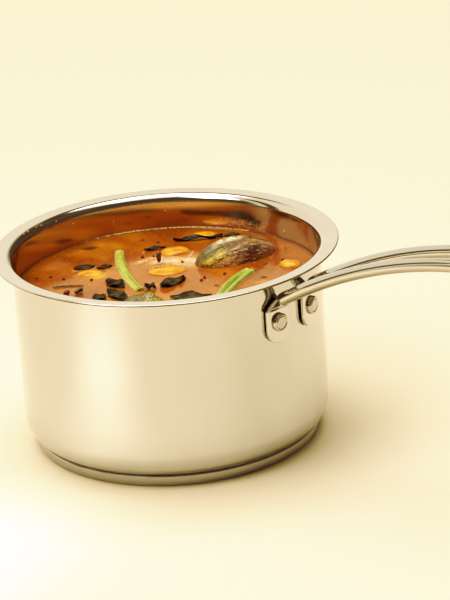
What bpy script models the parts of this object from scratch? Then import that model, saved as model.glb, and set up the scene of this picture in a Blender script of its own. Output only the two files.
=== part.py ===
"""A stainless steel saucepan filled with lentil stew, floating vegetables, pods and curry leaves.

Metres, +Z up. The origin is the middle of the pan's underside, and the handle points along +X.
Every piece is its own object, and neighbouring pieces keep a gap of 0.3 mm.
"""

import math
import random

import bmesh
import bpy
from mathutils import Matrix, Vector

MM = 0.001
GAP = 0.3 * MM                      # between any two pieces that touch
MERGE = 0.01 * MM
TURN_STEPS = 52                     # facets round the pan, its base and the stew

# The pan: a straight-sided body, and its trumpet rim as a ring of its own
BODY_RADIUS = 80.0 * MM
BODY_WALL = 1.0 * MM
CORNER_RADIUS = 15.0 * MM           # outside of the bottom corner
BODY_BOTTOM = 3.3 * MM              # underside of the body, inside the base cap
RIM_RADIUS = 89.5 * MM
RIM_HEIGHT = 104.2 * MM
RIM_BEND = 3.4 * MM                 # outside of the wall to the underside of the flange
RIM_RISE = math.radians(4.0)        # slope of the flange, outwards and up
RIM_SEAM_DROP = 0.4 * MM            # the rim starts this far below its bend's centre

# The base cap: a thick disc pressed over the bottom corner
BASE_RADIUS = 74.7 * MM
BASE_HEIGHT = 6.9 * MM
BASE_FOOT = 1.4 * MM                # rounding under its edge
BASE_LIP = 0.5 * MM                 # chamfer on top of its edge

# The handle: one rod bent to a loop, both ends flattened to tabs
ROD_RADIUS = 3.37 * MM
ROD_SIDES = 14
LEG_START_SPREAD = 12.4 * MM        # half the distance between the legs, at the wall
LEG_TAPER = 0.0218                  # how fast the legs close up
ARCH_TOP = Vector((205.7, 0.0, 128.2)) * MM
ARCH_CURVE = 0.00238 / MM           # the legs rise as a parabola
HANDLE_END = 256.0 * MM
TAB_WIDTH = 15.0 * MM
TAB_THICKNESS = 2.4 * MM
TAB_BOTTOM = 69.3 * MM
TAB_ANGLE = math.radians(9.44)      # each tab lies flat on the wall at this azimuth
ELBOW_RADIUS = 7.0 * MM

# The rivets: one through each tab
RIVET_HEIGHT = 80.6 * MM
RIVET_SHANK = 2.5 * MM
RIVET_HEAD = 4.7 * MM
RIVET_RISE = 2.0 * MM               # the outer head stands this far off its tab
RIVET_DISH = 0.4 * MM               # and is hollowed by this much
RIVET_INNER_HEAD = 4.5 * MM
RIVET_INNER_DOME = 1.2 * MM

# The stew
STEW_LEVEL = 84.5 * MM
MENISCUS_RISE = 0.6 * MM
MENISCUS_WIDTH = 2.2 * MM
SEED_COUNT = 22
SEED_RADIUS = 0.9 * MM
SEED_FLOAT = 0.25                   # share of its radius that a seed's centre stands up
FLAKE_COUNT = 12
FLAKE_SIZE = Vector((2.8, 1.6, 0.7)) * MM
FLAKE_FLOAT = 0.15                  # the same for a flake, as a share of its thickness
FLAKE_TILT = (6.0, 16.0)            # degrees
SCATTER_SEED = 7
SCATTER_RADIUS = 72.0 * MM

# Forms that several floating pieces share
EGGPLANT_KEEL = 0.55                # depth below the stew, as a share of the height above it
EGGPLANT_TAPER = 0.24               # how much narrower the stem end is
EGGPLANT_LOBE = 0.05                # depth of its five soft ribs, as a share of the radius
SHALLOT_KEEL = 0.4                  # depth below the stew, as a share of the width
SHALLOT_BUMP = 0.07                 # unevenness, as a share of the size
POD_SINK = 0.12                     # a pod's middle lies this share of its height below the level
LEAF_THICKNESS = 0.45 * MM
LEAF_TIP = 0.12                     # width of a leaf's ends, as a share of its widest

# Floating pieces. Places are millimetres from the pan's axis, headings are degrees from +X,
# and sizes are length, width and height above the stew.
EGGPLANTS = {
    "eggplant_half_back": dict(place=(12.0, 43.0), heading=65.0, size=(47.0, 25.0, 10.5)),
    "eggplant_half_front": dict(place=(20.0, -45.0), heading=-56.0, size=(35.0, 25.0, 8.5)),
}
SHALLOTS = {
    "shallot_middle": dict(place=(-22.0, 34.0), heading=40.0, size=(16.0, 12.5, 2.6)),
    "shallot_front": dict(place=(-8.0, 9.0), heading=40.0, size=(19.5, 13.0, 1.6)),
    "shallot_right": dict(place=(44.5, 46.5), heading=30.0, size=(12.0, 10.5, 3.0)),
    "shallot_back": dict(place=(-25.8, 64.0), heading=35.0, size=(12.5, 8.0, 0.9)),
    "shallot_left": dict(place=(-41.5, -13.5), heading=35.0, size=(14.0, 9.0, 1.6)),
    "shallot_near": dict(place=(46.0, -42.0), heading=70.0, size=(15.0, 12.0, 2.4)),
}
PODS = {
    "pod_long": dict(ends=((-49.2, 20.1), (-2.0, -20.5)), bow=-3.0, width=6.2, height=5.0, slot=0.0),
    "pod_split": dict(ends=((30.5, 30.3), (40.5, -7.0)), bow=-1.5, width=8.6, height=5.6, slot=0.55),
}
LEAVES = {
    "leaf_back_long": dict(place=(-23.0, 55.0), heading=42.0, size=(27.0, 4.0), wave=1.4, curl=1.5),
    "leaf_back_tip": dict(place=(-10.5, 68.5), heading=59.0, size=(8.5, 5.0), wave=0.6, curl=0.8),
    "leaf_middle": dict(place=(-34.5, 32.0), heading=56.0, size=(12.0, 4.5), wave=0.8, curl=0.8),
    "leaf_left_dark": dict(place=(-50.0, -8.0), heading=51.0, size=(12.0, 7.5), wave=0.7, curl=0.7),
    "leaf_left_grey": dict(place=(-40.5, -3.0), heading=64.0, size=(9.0, 4.5), wave=0.6, curl=0.6),
    "leaf_grey": dict(place=(-18.5, -20.5), heading=-12.0, size=(14.0, 8.5), wave=1.2, curl=1.4),
    "leaf_black_long": dict(place=(-6.5, -33.0), heading=-23.0, size=(20.0, 8.0), wave=1.0, curl=1.2),
    "leaf_star": dict(place=(-12.5, -40.5), heading=98.0, size=(10.0, 7.0), wave=1.2, curl=1.6),
    "leaf_curled": dict(place=(6.5, -4.0), heading=85.0, size=(18.0, 8.5), wave=1.1, curl=1.5),
    "leaf_tuft": dict(place=(1.0, -16.0), heading=15.0, size=(6.5, 6.0), wave=1.3, curl=1.8),
    "leaf_front_big": dict(place=(28.5, -17.0), heading=34.0, size=(21.5, 10.5), wave=1.2, curl=1.2),
    "leaf_near": dict(place=(55.0, -24.0), heading=62.0, size=(22.0, 9.0), wave=1.1, curl=1.1),
    "leaf_near_left": dict(place=(-14.0, -58.0), heading=25.0, size=(20.0, 8.5), wave=1.0, curl=1.2),
}
TWIGS = {
    "stem": dict(ends=((-45.5, -39.5, 0.0), (-32.5, -29.5, 0.0)), radius=(0.75, 0.5), bow=1.0),
    "chilli_tip": dict(ends=((-18.0, 15.5, 0.0), (-18.5, 16.5, 4.5)), radius=(0.9, 1.6), bow=0.4),
    "chilli_red": dict(ends=((-29.5, -47.0, 0.0), (-31.0, -43.0, 1.0)), radius=(1.7, 1.0), bow=0.3),
    "chilli_tail": dict(ends=((-28.5, -41.0, 0.0), (-27.5, -36.0, 0.3)), radius=(0.9, 1.3), bow=0.4),
}

# Colours: red, green, blue, roughness, metallic
FINISHES = {
    "steel": (0.62, 0.60, 0.56, 0.12, 1.0),
    "steel_base": (0.50, 0.47, 0.42, 0.25, 1.0),
    "stew": (0.62, 0.27, 0.07, 0.30, 0.0),
    "eggplant": (0.26, 0.17, 0.10, 0.35, 0.0),
    "shallot": (0.85, 0.50, 0.10, 0.35, 0.0),
    "pod": (0.50, 0.58, 0.16, 0.40, 0.0),
    "leaf": (0.05, 0.05, 0.03, 0.45, 0.0),
    "chilli": (0.25, 0.03, 0.01, 0.35, 0.0),
}


# ---------------------------------------------------------------- scene and helpers

def clear_scene():
    """Remove every object that the start-up scene holds."""
    for item in list(bpy.data.objects):
        bpy.data.objects.remove(item, do_unlink=True)


def add_collection(name):
    collection = bpy.data.collections.new(name)
    bpy.context.scene.collection.children.link(collection)
    return collection


def finish_material(key):
    """The Principled material of one finish, made the first time it is asked for."""
    if key in bpy.data.materials:
        return bpy.data.materials[key]
    red, green, blue, roughness, metallic = FINISHES[key]
    material = bpy.data.materials.new(key)
    material.use_nodes = True
    shader = material.node_tree.nodes["Principled BSDF"]
    shader.inputs["Base Color"].default_value = (red, green, blue, 1.0)
    shader.inputs["Roughness"].default_value = roughness
    shader.inputs["Metallic"].default_value = metallic
    return material


def add_object(name, mesh, collection, finish=None):
    """Link a mesh as an object, shaded smooth and with its own copy of its finish."""
    item = bpy.data.objects.new(name, mesh)
    collection.objects.link(item)
    if finish:
        material = finish_material(finish).copy()
        material.name = name
        mesh.materials.append(material)
        mesh.shade_smooth()
        mesh.set_sharp_from_angle(angle=math.radians(35.0))
    return item


def as_cutter(item):
    item.hide_render = True
    item.display_type = "WIRE"
    return item


def mesh_from(bm, name):
    """Hand a bmesh over to a new mesh, and free it."""
    mesh = bpy.data.meshes.new(name)
    bm.to_mesh(mesh)
    bm.free()
    return mesh


def arc(centre_x, centre_z, radius, start, end, count):
    """Points of a circular arc in the XZ plane, both ends included; angles in radians."""
    points = []
    for i in range(count + 1):
        angle = start + (end - start) * i / count
        points.append((centre_x + radius * math.cos(angle), centre_z + radius * math.sin(angle)))
    return points


def turned(name, profile, collection, finish, steps=TURN_STEPS, ring=False):
    """A solid of revolution: the profile, from axis to axis, under a Screw modifier.

    The profile runs outwards on top, down the outer side and back to the axis underneath.
    A ring's profile keeps off the axis, and its last point is joined to its first.
    """
    bm = bmesh.new()
    verts = [bm.verts.new((x, 0.0, z)) for x, z in profile]
    for first, second in zip(verts, verts[1:] + verts[:1] if ring else verts[1:]):
        bm.edges.new((first, second))
    item = add_object(name, mesh_from(bm, name), collection, finish)
    screw = item.modifiers.new("Screw", "SCREW")
    screw.axis = "Z"
    screw.steps = steps
    screw.render_steps = steps
    screw.use_merge_vertices = True
    screw.merge_threshold = MERGE
    screw.use_smooth_shade = True
    return item


def loft(name, rings, collection, finish):
    """A closed solid through rings of equally many points, with a fan over each end ring.

    Rings run anticlockwise when seen from the far end, looking back along the path.
    """
    bm = bmesh.new()
    loops = [[bm.verts.new(point) for point in ring] for ring in rings]
    count = len(loops[0])
    for low, high in zip(loops, loops[1:]):
        for i in range(count):
            j = (i + 1) % count
            bm.faces.new((low[i], low[j], high[j], high[i]))
    for loop, backwards in ((loops[0], True), (loops[-1], False)):
        middle = bm.verts.new(sum((v.co for v in loop), Vector()) / count)
        for i in range(count):
            j = (i + 1) % count
            corner = (loop[j], loop[i]) if backwards else (loop[i], loop[j])
            bm.faces.new((corner[0], corner[1], middle))
    return add_object(name, mesh_from(bm, name), collection, finish)


def rounded_section(width, thickness, sides, squareness=2.0):
    """Superellipse points (across, up): squareness 2 is an ellipse, larger is boxier."""
    points = []
    for i in range(sides):
        angle = 2.0 * math.pi * i / sides
        c, s = math.cos(angle), math.sin(angle)
        across = math.copysign(abs(c) ** (2.0 / squareness), c) * width / 2.0
        up = math.copysign(abs(s) ** (2.0 / squareness), s) * thickness / 2.0
        points.append((across, up))
    return points


def section_ring(centre, across, up, points):
    return [centre + across * a + up * b for a, b in points]


def blend(a, b, t):
    """Ease from a to b as t goes from 0 to 1."""
    t = min(max(t, 0.0), 1.0)
    ease = t * t * (3.0 - 2.0 * t)
    return a + (b - a) * ease


def boolean(item, operation, collection, name):
    modifier = item.modifiers.new(name, "BOOLEAN")
    modifier.operation = operation
    modifier.operand_type = "COLLECTION"
    modifier.collection = collection
    modifier.solver = "EXACT"
    return modifier


# ---------------------------------------------------------------- the pan

def rim_levels():
    """Height of the bend's centre, and the radius where the flange's rounded edge starts."""
    bend_x = BODY_RADIUS + RIM_BEND
    top_radius = RIM_BEND + BODY_WALL
    edge_x = RIM_RADIUS - BODY_WALL / 2.0
    flange_start = bend_x - top_radius * math.sin(RIM_RISE)
    rise = (edge_x - flange_start) * math.tan(RIM_RISE)
    bend_z = RIM_HEIGHT - rise - top_radius * math.cos(RIM_RISE)
    return bend_x, bend_z, edge_x


def seam_height():
    """Where the straight wall ends and the rim starts, just under the bend."""
    return rim_levels()[1] - RIM_SEAM_DROP


def body_profile():
    """Inner floor, inner wall, the wall's top edge, outer wall, corner and underside."""
    corner_x = BODY_RADIUS - CORNER_RADIUS
    corner_z = BODY_BOTTOM + CORNER_RADIUS
    top = seam_height() - GAP / 2.0
    profile = [(0.0, BODY_BOTTOM + BODY_WALL)]
    profile += arc(corner_x, corner_z, CORNER_RADIUS - BODY_WALL, -math.pi / 2.0, 0.0, 6)
    profile += [(BODY_RADIUS - BODY_WALL, top), (BODY_RADIUS, top)]
    profile += arc(corner_x, corner_z, CORNER_RADIUS, 0.0, -math.pi / 2.0, 6)
    profile.append((0.0, BODY_BOTTOM))
    return profile


def rim_profile():
    """The rim's ring: inner wall, bend, flange, rounded edge, underside and outer wall."""
    bend_x, bend_z, edge_x = rim_levels()
    flat = math.radians(90.0) + RIM_RISE
    edge_z = RIM_HEIGHT - BODY_WALL / 2.0 / math.cos(RIM_RISE)
    bottom = seam_height() + GAP / 2.0
    profile = [(BODY_RADIUS - BODY_WALL, bottom)]
    profile += arc(bend_x, bend_z, RIM_BEND + BODY_WALL, math.pi, flat, 6)
    profile += arc(edge_x, edge_z, BODY_WALL / 2.0, flat, RIM_RISE - math.pi / 2.0, 3)
    profile += arc(bend_x, bend_z, RIM_BEND, flat, math.pi, 5)
    profile.append((BODY_RADIUS, bottom))
    return profile


def base_profile():
    """The cap: a hollow top that hugs the body's corner, a lip, the side and a round foot."""
    corner_x = BODY_RADIUS - CORNER_RADIUS
    corner_z = BODY_BOTTOM + CORNER_RADIUS
    hug = CORNER_RADIUS + GAP
    lip_x = BASE_RADIUS - BASE_LIP
    lip_angle = -math.acos((lip_x - corner_x) / hug)
    profile = [(0.0, BODY_BOTTOM - GAP)]
    profile += arc(corner_x, corner_z, hug, -math.pi / 2.0, lip_angle, 4)
    profile.append((BASE_RADIUS, BASE_HEIGHT - GAP - BASE_LIP))
    profile += arc(BASE_RADIUS - BASE_FOOT, BASE_FOOT, BASE_FOOT, 0.0, -math.pi / 2.0, 3)
    profile.append((0.0, 0.0))
    return profile


def radial_frame(azimuth, radius, height):
    """A place on the wall whose local +Z points out along the radius and local +X along the wall."""
    out = Vector((math.cos(azimuth), math.sin(azimuth), 0.0))
    along = Vector((-math.sin(azimuth), math.cos(azimuth), 0.0))
    up = out.cross(along)
    frame = Matrix((along, up, out)).transposed().to_4x4()
    frame.translation = out * radius + Vector((0.0, 0.0, height))
    return frame


def rivet_profile():
    """Outer head, shank and inner head, along the rivet's own Z; z = 0 is the body's outside."""
    tab_face = GAP + TAB_THICKNESS + GAP
    inner_face = -(BODY_WALL + 2.0 * GAP)
    outer_top = tab_face + RIVET_RISE
    inner_top = inner_face - RIVET_INNER_DOME
    return [
        (0.0, outer_top - RIVET_DISH),
        (RIVET_HEAD * 0.45, outer_top - RIVET_DISH * 0.7),
        (RIVET_HEAD * 0.76, outer_top),
        (RIVET_HEAD * 0.90, outer_top - RIVET_DISH * 0.6),
        (RIVET_HEAD, tab_face + RIVET_RISE * 0.2),
        (RIVET_HEAD, tab_face),
        (RIVET_SHANK, tab_face),
        (RIVET_SHANK, inner_face),
        (RIVET_INNER_HEAD, inner_face),
        (RIVET_INNER_HEAD * 0.75, inner_top + RIVET_INNER_DOME * 0.25),
        (0.0, inner_top),
    ]


def rod_height(x):
    """The legs' height: a parabola with its top at ARCH_TOP."""
    return ARCH_TOP.z - ARCH_CURVE * (ARCH_TOP.x - x) ** 2


def rod_slope(x):
    return 2.0 * ARCH_CURVE * (ARCH_TOP.x - x)


def leg_spread(x):
    """Half the distance between the legs: it closes up evenly from the wall to the loop."""
    return LEG_START_SPREAD - LEG_TAPER * (x - BODY_RADIUS - 4.0 * MM)


def handle_stations():
    """The rod's path from the tip of one tab to the middle of the loop.

    Each station is (centre, direction, across, width, thickness, squareness).
    """
    up = Vector((0.0, 0.0, 1.0))
    tab_out = Vector((math.cos(TAB_ANGLE), math.sin(TAB_ANGLE), 0.0))
    tab_across = Vector((-math.sin(TAB_ANGLE), math.cos(TAB_ANGLE), 0.0))
    tab_radius = BODY_RADIUS + GAP + TAB_THICKNESS / 2.0
    leg_x = BODY_RADIUS + 4.0 * MM
    pitch = math.atan(rod_slope(leg_x))
    tab_top = rod_height(leg_x) - ELBOW_RADIUS * math.cos(pitch)
    stations = []
    # the tab's round tip and its straight length
    round_end = TAB_WIDTH / 2.0
    for share in (0.0, 0.08, 0.25, 0.55, 1.0):
        width = TAB_WIDTH * math.sqrt(1.0 - (1.0 - max(share, 0.02)) ** 2)
        centre = tab_out * tab_radius + up * (TAB_BOTTOM + share * round_end)
        stations.append((centre, up, tab_across, width, TAB_THICKNESS, 4.0))
    centre = tab_out * tab_radius + up * tab_top
    stations.append((centre, up, tab_across, TAB_WIDTH, TAB_THICKNESS, 4.0))
    # the elbow: it turns from straight up to the leg's slope, and the flat becomes a round rod
    leg_start = Vector((leg_x, leg_spread(leg_x), rod_height(leg_x)))
    turn = math.pi / 2.0 - pitch
    elbow_steps = 6
    for i in range(1, elbow_steps + 1):
        t = i / elbow_steps
        angle = math.pi / 2.0 - turn * t
        run = ELBOW_RADIUS * (1.0 - math.sin(angle))
        rise = ELBOW_RADIUS * math.cos(angle)
        plan = tab_out * tab_radius + Vector((1.0, 0.0, 0.0)) * run
        plan = plan.lerp(Vector((leg_start.x, leg_start.y, 0.0)), t * t)
        centre = Vector((plan.x, plan.y, tab_top + rise))
        direction = Vector((math.cos(angle), 0.0, math.sin(angle)))
        across = tab_across.lerp(Vector((0.0, 1.0, 0.0)), t).normalized()
        across = (across - direction * across.dot(direction)).normalized()
        width = blend(TAB_WIDTH, 2.0 * ROD_RADIUS, t * 1.15)
        thickness = blend(TAB_THICKNESS, 2.0 * ROD_RADIUS, t * 1.1)
        stations.append((centre, direction, across, width, thickness, 4.0 - 2.0 * t))
    # the leg
    loop_x = HANDLE_END - ROD_RADIUS - leg_spread(HANDLE_END - 12.0 * MM)
    leg_steps = 12
    for i in range(1, leg_steps + 1):
        x = leg_x + (loop_x - leg_x) * i / leg_steps
        direction = Vector((1.0, -LEG_TAPER, rod_slope(x))).normalized()
        across = Vector((0.0, 1.0, 0.0))
        across = (across - direction * across.dot(direction)).normalized()
        centre = Vector((x, leg_spread(x), rod_height(x)))
        stations.append((centre, direction, across, 2.0 * ROD_RADIUS, 2.0 * ROD_RADIUS, 2.0))
    # half of the loop, up to the handle's middle plane
    loop_radius = leg_spread(loop_x)
    loop_steps = 5
    for i in range(1, loop_steps + 1):
        angle = math.pi / 2.0 * i / loop_steps
        x = loop_x + loop_radius * math.sin(angle)
        centre = Vector((x, loop_radius * math.cos(angle), rod_height(x)))
        slope = rod_slope(x) * math.cos(angle)
        direction = Vector((math.cos(angle), -math.sin(angle), slope)).normalized()
        across = Vector((math.sin(angle), math.cos(angle), 0.0))
        across = (across - direction * across.dot(direction)).normalized()
        stations.append((centre, direction, across, 2.0 * ROD_RADIUS, 2.0 * ROD_RADIUS, 2.0))
    return stations


def build_handle(collection, cutters):
    """Loft one leg from its tab to the loop, then the other leg as its mirror image."""
    rings = []
    for centre, direction, across, width, thickness, squareness in handle_stations():
        up = direction.cross(across)
        points = rounded_section(width, thickness, ROD_SIDES, squareness)
        rings.append(section_ring(centre, across, up, points))
    mirrored = [[Vector((p.x, -p.y, p.z)) for p in ring] for ring in reversed(rings[:-1])]
    handle = loft("handle", rings + mirrored, collection, "steel")
    boolean(handle, "DIFFERENCE", cutters, "Rivet holes")
    return handle


def build_pan(collection, cutters):
    body = turned("pan_body", body_profile(), collection, "steel")
    boolean(body, "DIFFERENCE", cutters, "Rivet holes")
    turned("pan_rim", rim_profile(), collection, "steel", ring=True)
    turned("base_cap", base_profile(), collection, "steel_base")
    build_handle(collection, cutters)
    for side, name in ((1.0, "rivet_left"), (-1.0, "rivet_right")):
        rivet = turned(name, rivet_profile(), collection, "steel", steps=14)
        rivet.matrix_world = radial_frame(side * TAB_ANGLE, BODY_RADIUS, RIVET_HEIGHT)


def build_rivet_cutters(collection):
    """A clearance hole for each shank, through the tab and the wall."""
    for side, name in ((1.0, "hole_left"), (-1.0, "hole_right")):
        bm = bmesh.new()
        radius = RIVET_SHANK + GAP
        bmesh.ops.create_cone(bm, cap_ends=True, segments=16, radius1=radius, radius2=radius,
                              depth=12.0 * MM)
        hole = add_object(name, mesh_from(bm, name), collection)
        hole.matrix_world = radial_frame(side * TAB_ANGLE, BODY_RADIUS, RIVET_HEIGHT)
        as_cutter(hole)


# ---------------------------------------------------------------- floating pieces

def rotation_about_z(degrees):
    return Matrix.Rotation(math.radians(degrees), 4, "Z")


def place_mesh(bm, place, heading):
    """Turn a piece to its heading and set it at its place, level with the stew."""
    matrix = Matrix.Translation((place[0] * MM, place[1] * MM, STEW_LEVEL)) @ rotation_about_z(heading)
    bmesh.ops.transform(bm, matrix=matrix, verts=bm.verts)


def ellipsoid(length, width, above, below, segments, rings):
    """A sphere primitive stretched to its sizes, with separate heights above and below."""
    bm = bmesh.new()
    bmesh.ops.create_uvsphere(bm, u_segments=segments, v_segments=rings, radius=1.0)
    for vert in bm.verts:
        x, y, z = vert.co
        vert.co = (x * length / 2.0, y * width / 2.0, z * (above if z > 0.0 else below))
    return bm


def add_pocket(item, pockets):
    """The space that a half-sunk piece takes in the stew: its own shape, one gap larger."""
    bm = bmesh.new()
    bm.from_mesh(item.data)
    bm.normal_update()
    shifts = [vert.normal * GAP for vert in bm.verts]
    for vert, shift in zip(bm.verts, shifts):
        vert.co += shift
    name = item.name + "_pocket"
    as_cutter(add_object(name, mesh_from(bm, name), pockets))


def build_eggplant(name, spec, collection, pockets):
    """Half a small eggplant, skin up: a long dome with soft ribs that narrows to the stem end."""
    length, width, above = (value * MM for value in spec["size"])
    bm = ellipsoid(length, width, above, above * EGGPLANT_KEEL, 18, 11)
    for vert in bm.verts:
        along = vert.co.x / (length / 2.0)
        narrow = 1.0 - EGGPLANT_TAPER * (max(along, 0.0) ** 2 + along / 4.0)
        lobe = 1.0 + EGGPLANT_LOBE * math.cos(5.0 * math.atan2(vert.co.z, vert.co.y))
        vert.co.y *= narrow * lobe
        vert.co.z *= narrow * lobe
    place_mesh(bm, spec["place"], spec["heading"])
    add_pocket(add_object(name, mesh_from(bm, name), collection, "eggplant"), pockets)


def build_shallot(name, spec, collection, pockets):
    """A small cooked onion, mostly sunk: an uneven ellipsoid with two shallow layer steps."""
    length, width, above = (value * MM for value in spec["size"])
    bm = ellipsoid(length, width, above, width * SHALLOT_KEEL, 12, 7)
    for vert in bm.verts:
        along = vert.co.x / (length / 2.0)
        vert.co.y *= 1.0 + SHALLOT_BUMP * math.sin(3.0 * along + length / MM)
        vert.co.z *= 1.0 + SHALLOT_BUMP * math.sin(4.0 * along + width / MM)
    place_mesh(bm, spec["place"], spec["heading"])
    add_pocket(add_object(name, mesh_from(bm, name), collection, "shallot"), pockets)


def bowed_path(start, end, bow, count):
    """Points on a shallow arch from start to end that bows sideways by bow."""
    span = end - start
    side = Vector((-span.y, span.x, 0.0)).normalized()
    points = []
    for i in range(count + 1):
        t = i / count
        points.append(start + span * t + side * (bow * 4.0 * t * (1.0 - t)))
    return points


def sweep_rings(points, section_at):
    """Rings of a section carried along points; section_at(t) gives its (across, up) points."""
    rings = []
    last = len(points) - 1
    for i, centre in enumerate(points):
        direction = (points[min(i + 1, last)] - points[max(i - 1, 0)]).normalized()
        across = Vector((-direction.y, direction.x, 0.0)).normalized()
        up = direction.cross(across)
        rings.append(section_ring(centre, across, up, section_at(i / last)))
    return rings


def build_pod(name, spec, collection, pockets):
    """A cut bean pod: a flat oval section, and on a split pod a groove along its top."""
    (x0, y0), (x1, y1) = spec["ends"]
    sink = spec["height"] * POD_SINK
    start = Vector((x0, y0, -sink)) * MM + Vector((0.0, 0.0, STEW_LEVEL))
    end = Vector((x1, y1, -sink)) * MM + Vector((0.0, 0.0, STEW_LEVEL))
    points = bowed_path(start, end, spec["bow"] * MM, 8)

    def section(t):
        swell = 0.86 + 0.14 * math.sin(math.pi * t)
        groove = spec["slot"] * math.sin(math.pi * (0.15 + 0.7 * t))
        ring = []
        for across, up in rounded_section(spec["width"] * MM, spec["height"] * MM, 12, 2.3):
            share = across / (spec["width"] * MM / 2.0)
            if up > 0.0:
                up *= 1.0 - groove * math.exp(-(share / 0.34) ** 2)
            ring.append((across * swell, up * swell))
        return ring

    item = loft(name, sweep_rings(points, section), collection, "pod")
    add_pocket(item, pockets)


def build_twig(name, spec, collection):
    """A thin round piece, such as a leaf stem or a scrap of dried chilli."""
    start, end = (Vector(point) * MM + Vector((0.0, 0.0, STEW_LEVEL + GAP)) for point in spec["ends"])
    thick, thin = (value * MM for value in spec["radius"])
    start.z += thick
    end.z += thin
    points = bowed_path(start, end, spec["bow"] * MM, 4)

    def section(t):
        radius = blend(thick, thin, t)
        return rounded_section(2.0 * radius, 2.0 * radius, 6)

    return loft(name, sweep_rings(points, section), collection, "chilli")


def build_leaf(name, spec, collection):
    """A cooked curry leaf: a thin wavy blade, both faces split into the same triangles."""
    length, width = (value * MM for value in spec["size"])
    wave, curl = spec["wave"] * MM, spec["curl"] * MM
    along_steps, across_steps = 6, 2
    phase = 0.1 * length / MM
    bm = bmesh.new()
    faces = []
    for lift in (0.0, LEAF_THICKNESS):
        grid = []
        for i in range(along_steps + 1):
            t = i / along_steps
            belly = math.sin(math.pi * t ** 0.85) ** 0.8
            half = width / 2.0 * (LEAF_TIP + (1.0 - LEAF_TIP) * belly)
            row = []
            for j in range(across_steps + 1):
                side = 2.0 * j / across_steps - 1.0
                ripple = wave * (0.5 + 0.5 * math.sin(2.0 * math.pi * t * 1.6 + phase + side))
                height = ripple + curl * side * side * 0.6
                row.append(bm.verts.new(((t - 0.5) * length, side * half, height + lift)))
            grid.append(row)
        faces.append(grid)
    low, high = faces
    for i in range(along_steps):
        for j in range(across_steps):
            for grid, upward in ((low, False), (high, True)):
                a, b = grid[i][j], grid[i + 1][j]
                c, d = grid[i + 1][j + 1], grid[i][j + 1]
                for triangle in ((a, b, c), (a, c, d)):
                    bm.faces.new(triangle if upward else triangle[::-1])
    border = [(i, 0) for i in range(along_steps)]
    border += [(along_steps, j) for j in range(across_steps)]
    border += [(i, across_steps) for i in range(along_steps, 0, -1)]
    border += [(0, j) for j in range(across_steps, 0, -1)]
    for (i, j), (k, m) in zip(border, border[1:] + border[:1]):
        bm.faces.new((low[i][j], low[k][m], high[k][m], high[i][j]))
    place_mesh(bm, spec["place"], spec["heading"])
    bmesh.ops.translate(bm, vec=(0.0, 0.0, GAP), verts=bm.verts)
    add_object(name, mesh_from(bm, name), collection, "leaf")


# ---------------------------------------------------------------- the stew

def stew_profile():
    """Level top, a meniscus that climbs the wall, the wall, the corner and the floor."""
    corner_x = BODY_RADIUS - CORNER_RADIUS
    corner_z = BODY_BOTTOM + CORNER_RADIUS
    inner = CORNER_RADIUS - BODY_WALL - GAP
    edge = corner_x + inner
    profile = [(0.0, STEW_LEVEL), (edge - MENISCUS_WIDTH, STEW_LEVEL)]
    profile.append((edge - MENISCUS_WIDTH * 0.35, STEW_LEVEL + MENISCUS_RISE * 0.3))
    profile.append((edge, STEW_LEVEL + MENISCUS_RISE))
    profile += arc(corner_x, corner_z, inner, 0.0, -math.pi / 2.0, 6)
    profile.append((0.0, BODY_BOTTOM + BODY_WALL + GAP))
    return profile


def footprints():
    """Circles (x, y, radius), in metres, that cover every floating piece."""
    circles = []
    for spec in list(EGGPLANTS.values()) + list(SHALLOTS.values()) + list(LEAVES.values()):
        length, width = spec["size"][0], spec["size"][1]
        turn = math.radians(spec["heading"])
        for share in (-0.35, 0.0, 0.35):
            x = spec["place"][0] + share * length * math.cos(turn)
            y = spec["place"][1] + share * length * math.sin(turn)
            circles.append((x * MM, y * MM, max(width / 2.0, length * 0.2) * MM))
    for spec in PODS.values():
        (x0, y0), (x1, y1) = spec["ends"]
        for i in range(9):
            t = i / 8.0
            x, y = x0 + (x1 - x0) * t, y0 + (y1 - y0) * t
            circles.append((x * MM, y * MM, (abs(spec["bow"]) + spec["width"] / 2.0) * MM))
    for spec in TWIGS.values():
        (x0, y0, _), (x1, y1, _) = spec["ends"]
        for t in (0.0, 0.5, 1.0):
            circles.append(((x0 + (x1 - x0) * t) * MM, (y0 + (y1 - y0) * t) * MM, 4.0 * MM))
    return circles


def scatter(generator, count, taken, margin):
    """Seeded random places on the stew that stay clear of every floating piece."""
    places = []
    while len(places) < count:
        radius = SCATTER_RADIUS * math.sqrt(generator.random())
        angle = generator.uniform(0.0, 2.0 * math.pi)
        x, y = radius * math.cos(angle), radius * math.sin(angle)
        if all(math.hypot(x - cx, y - cy) > r + margin for cx, cy, r in taken):
            places.append((x, y, generator.uniform(0.0, math.pi)))
            taken.append((x, y, 1.5 * MM))
    return places


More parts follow.
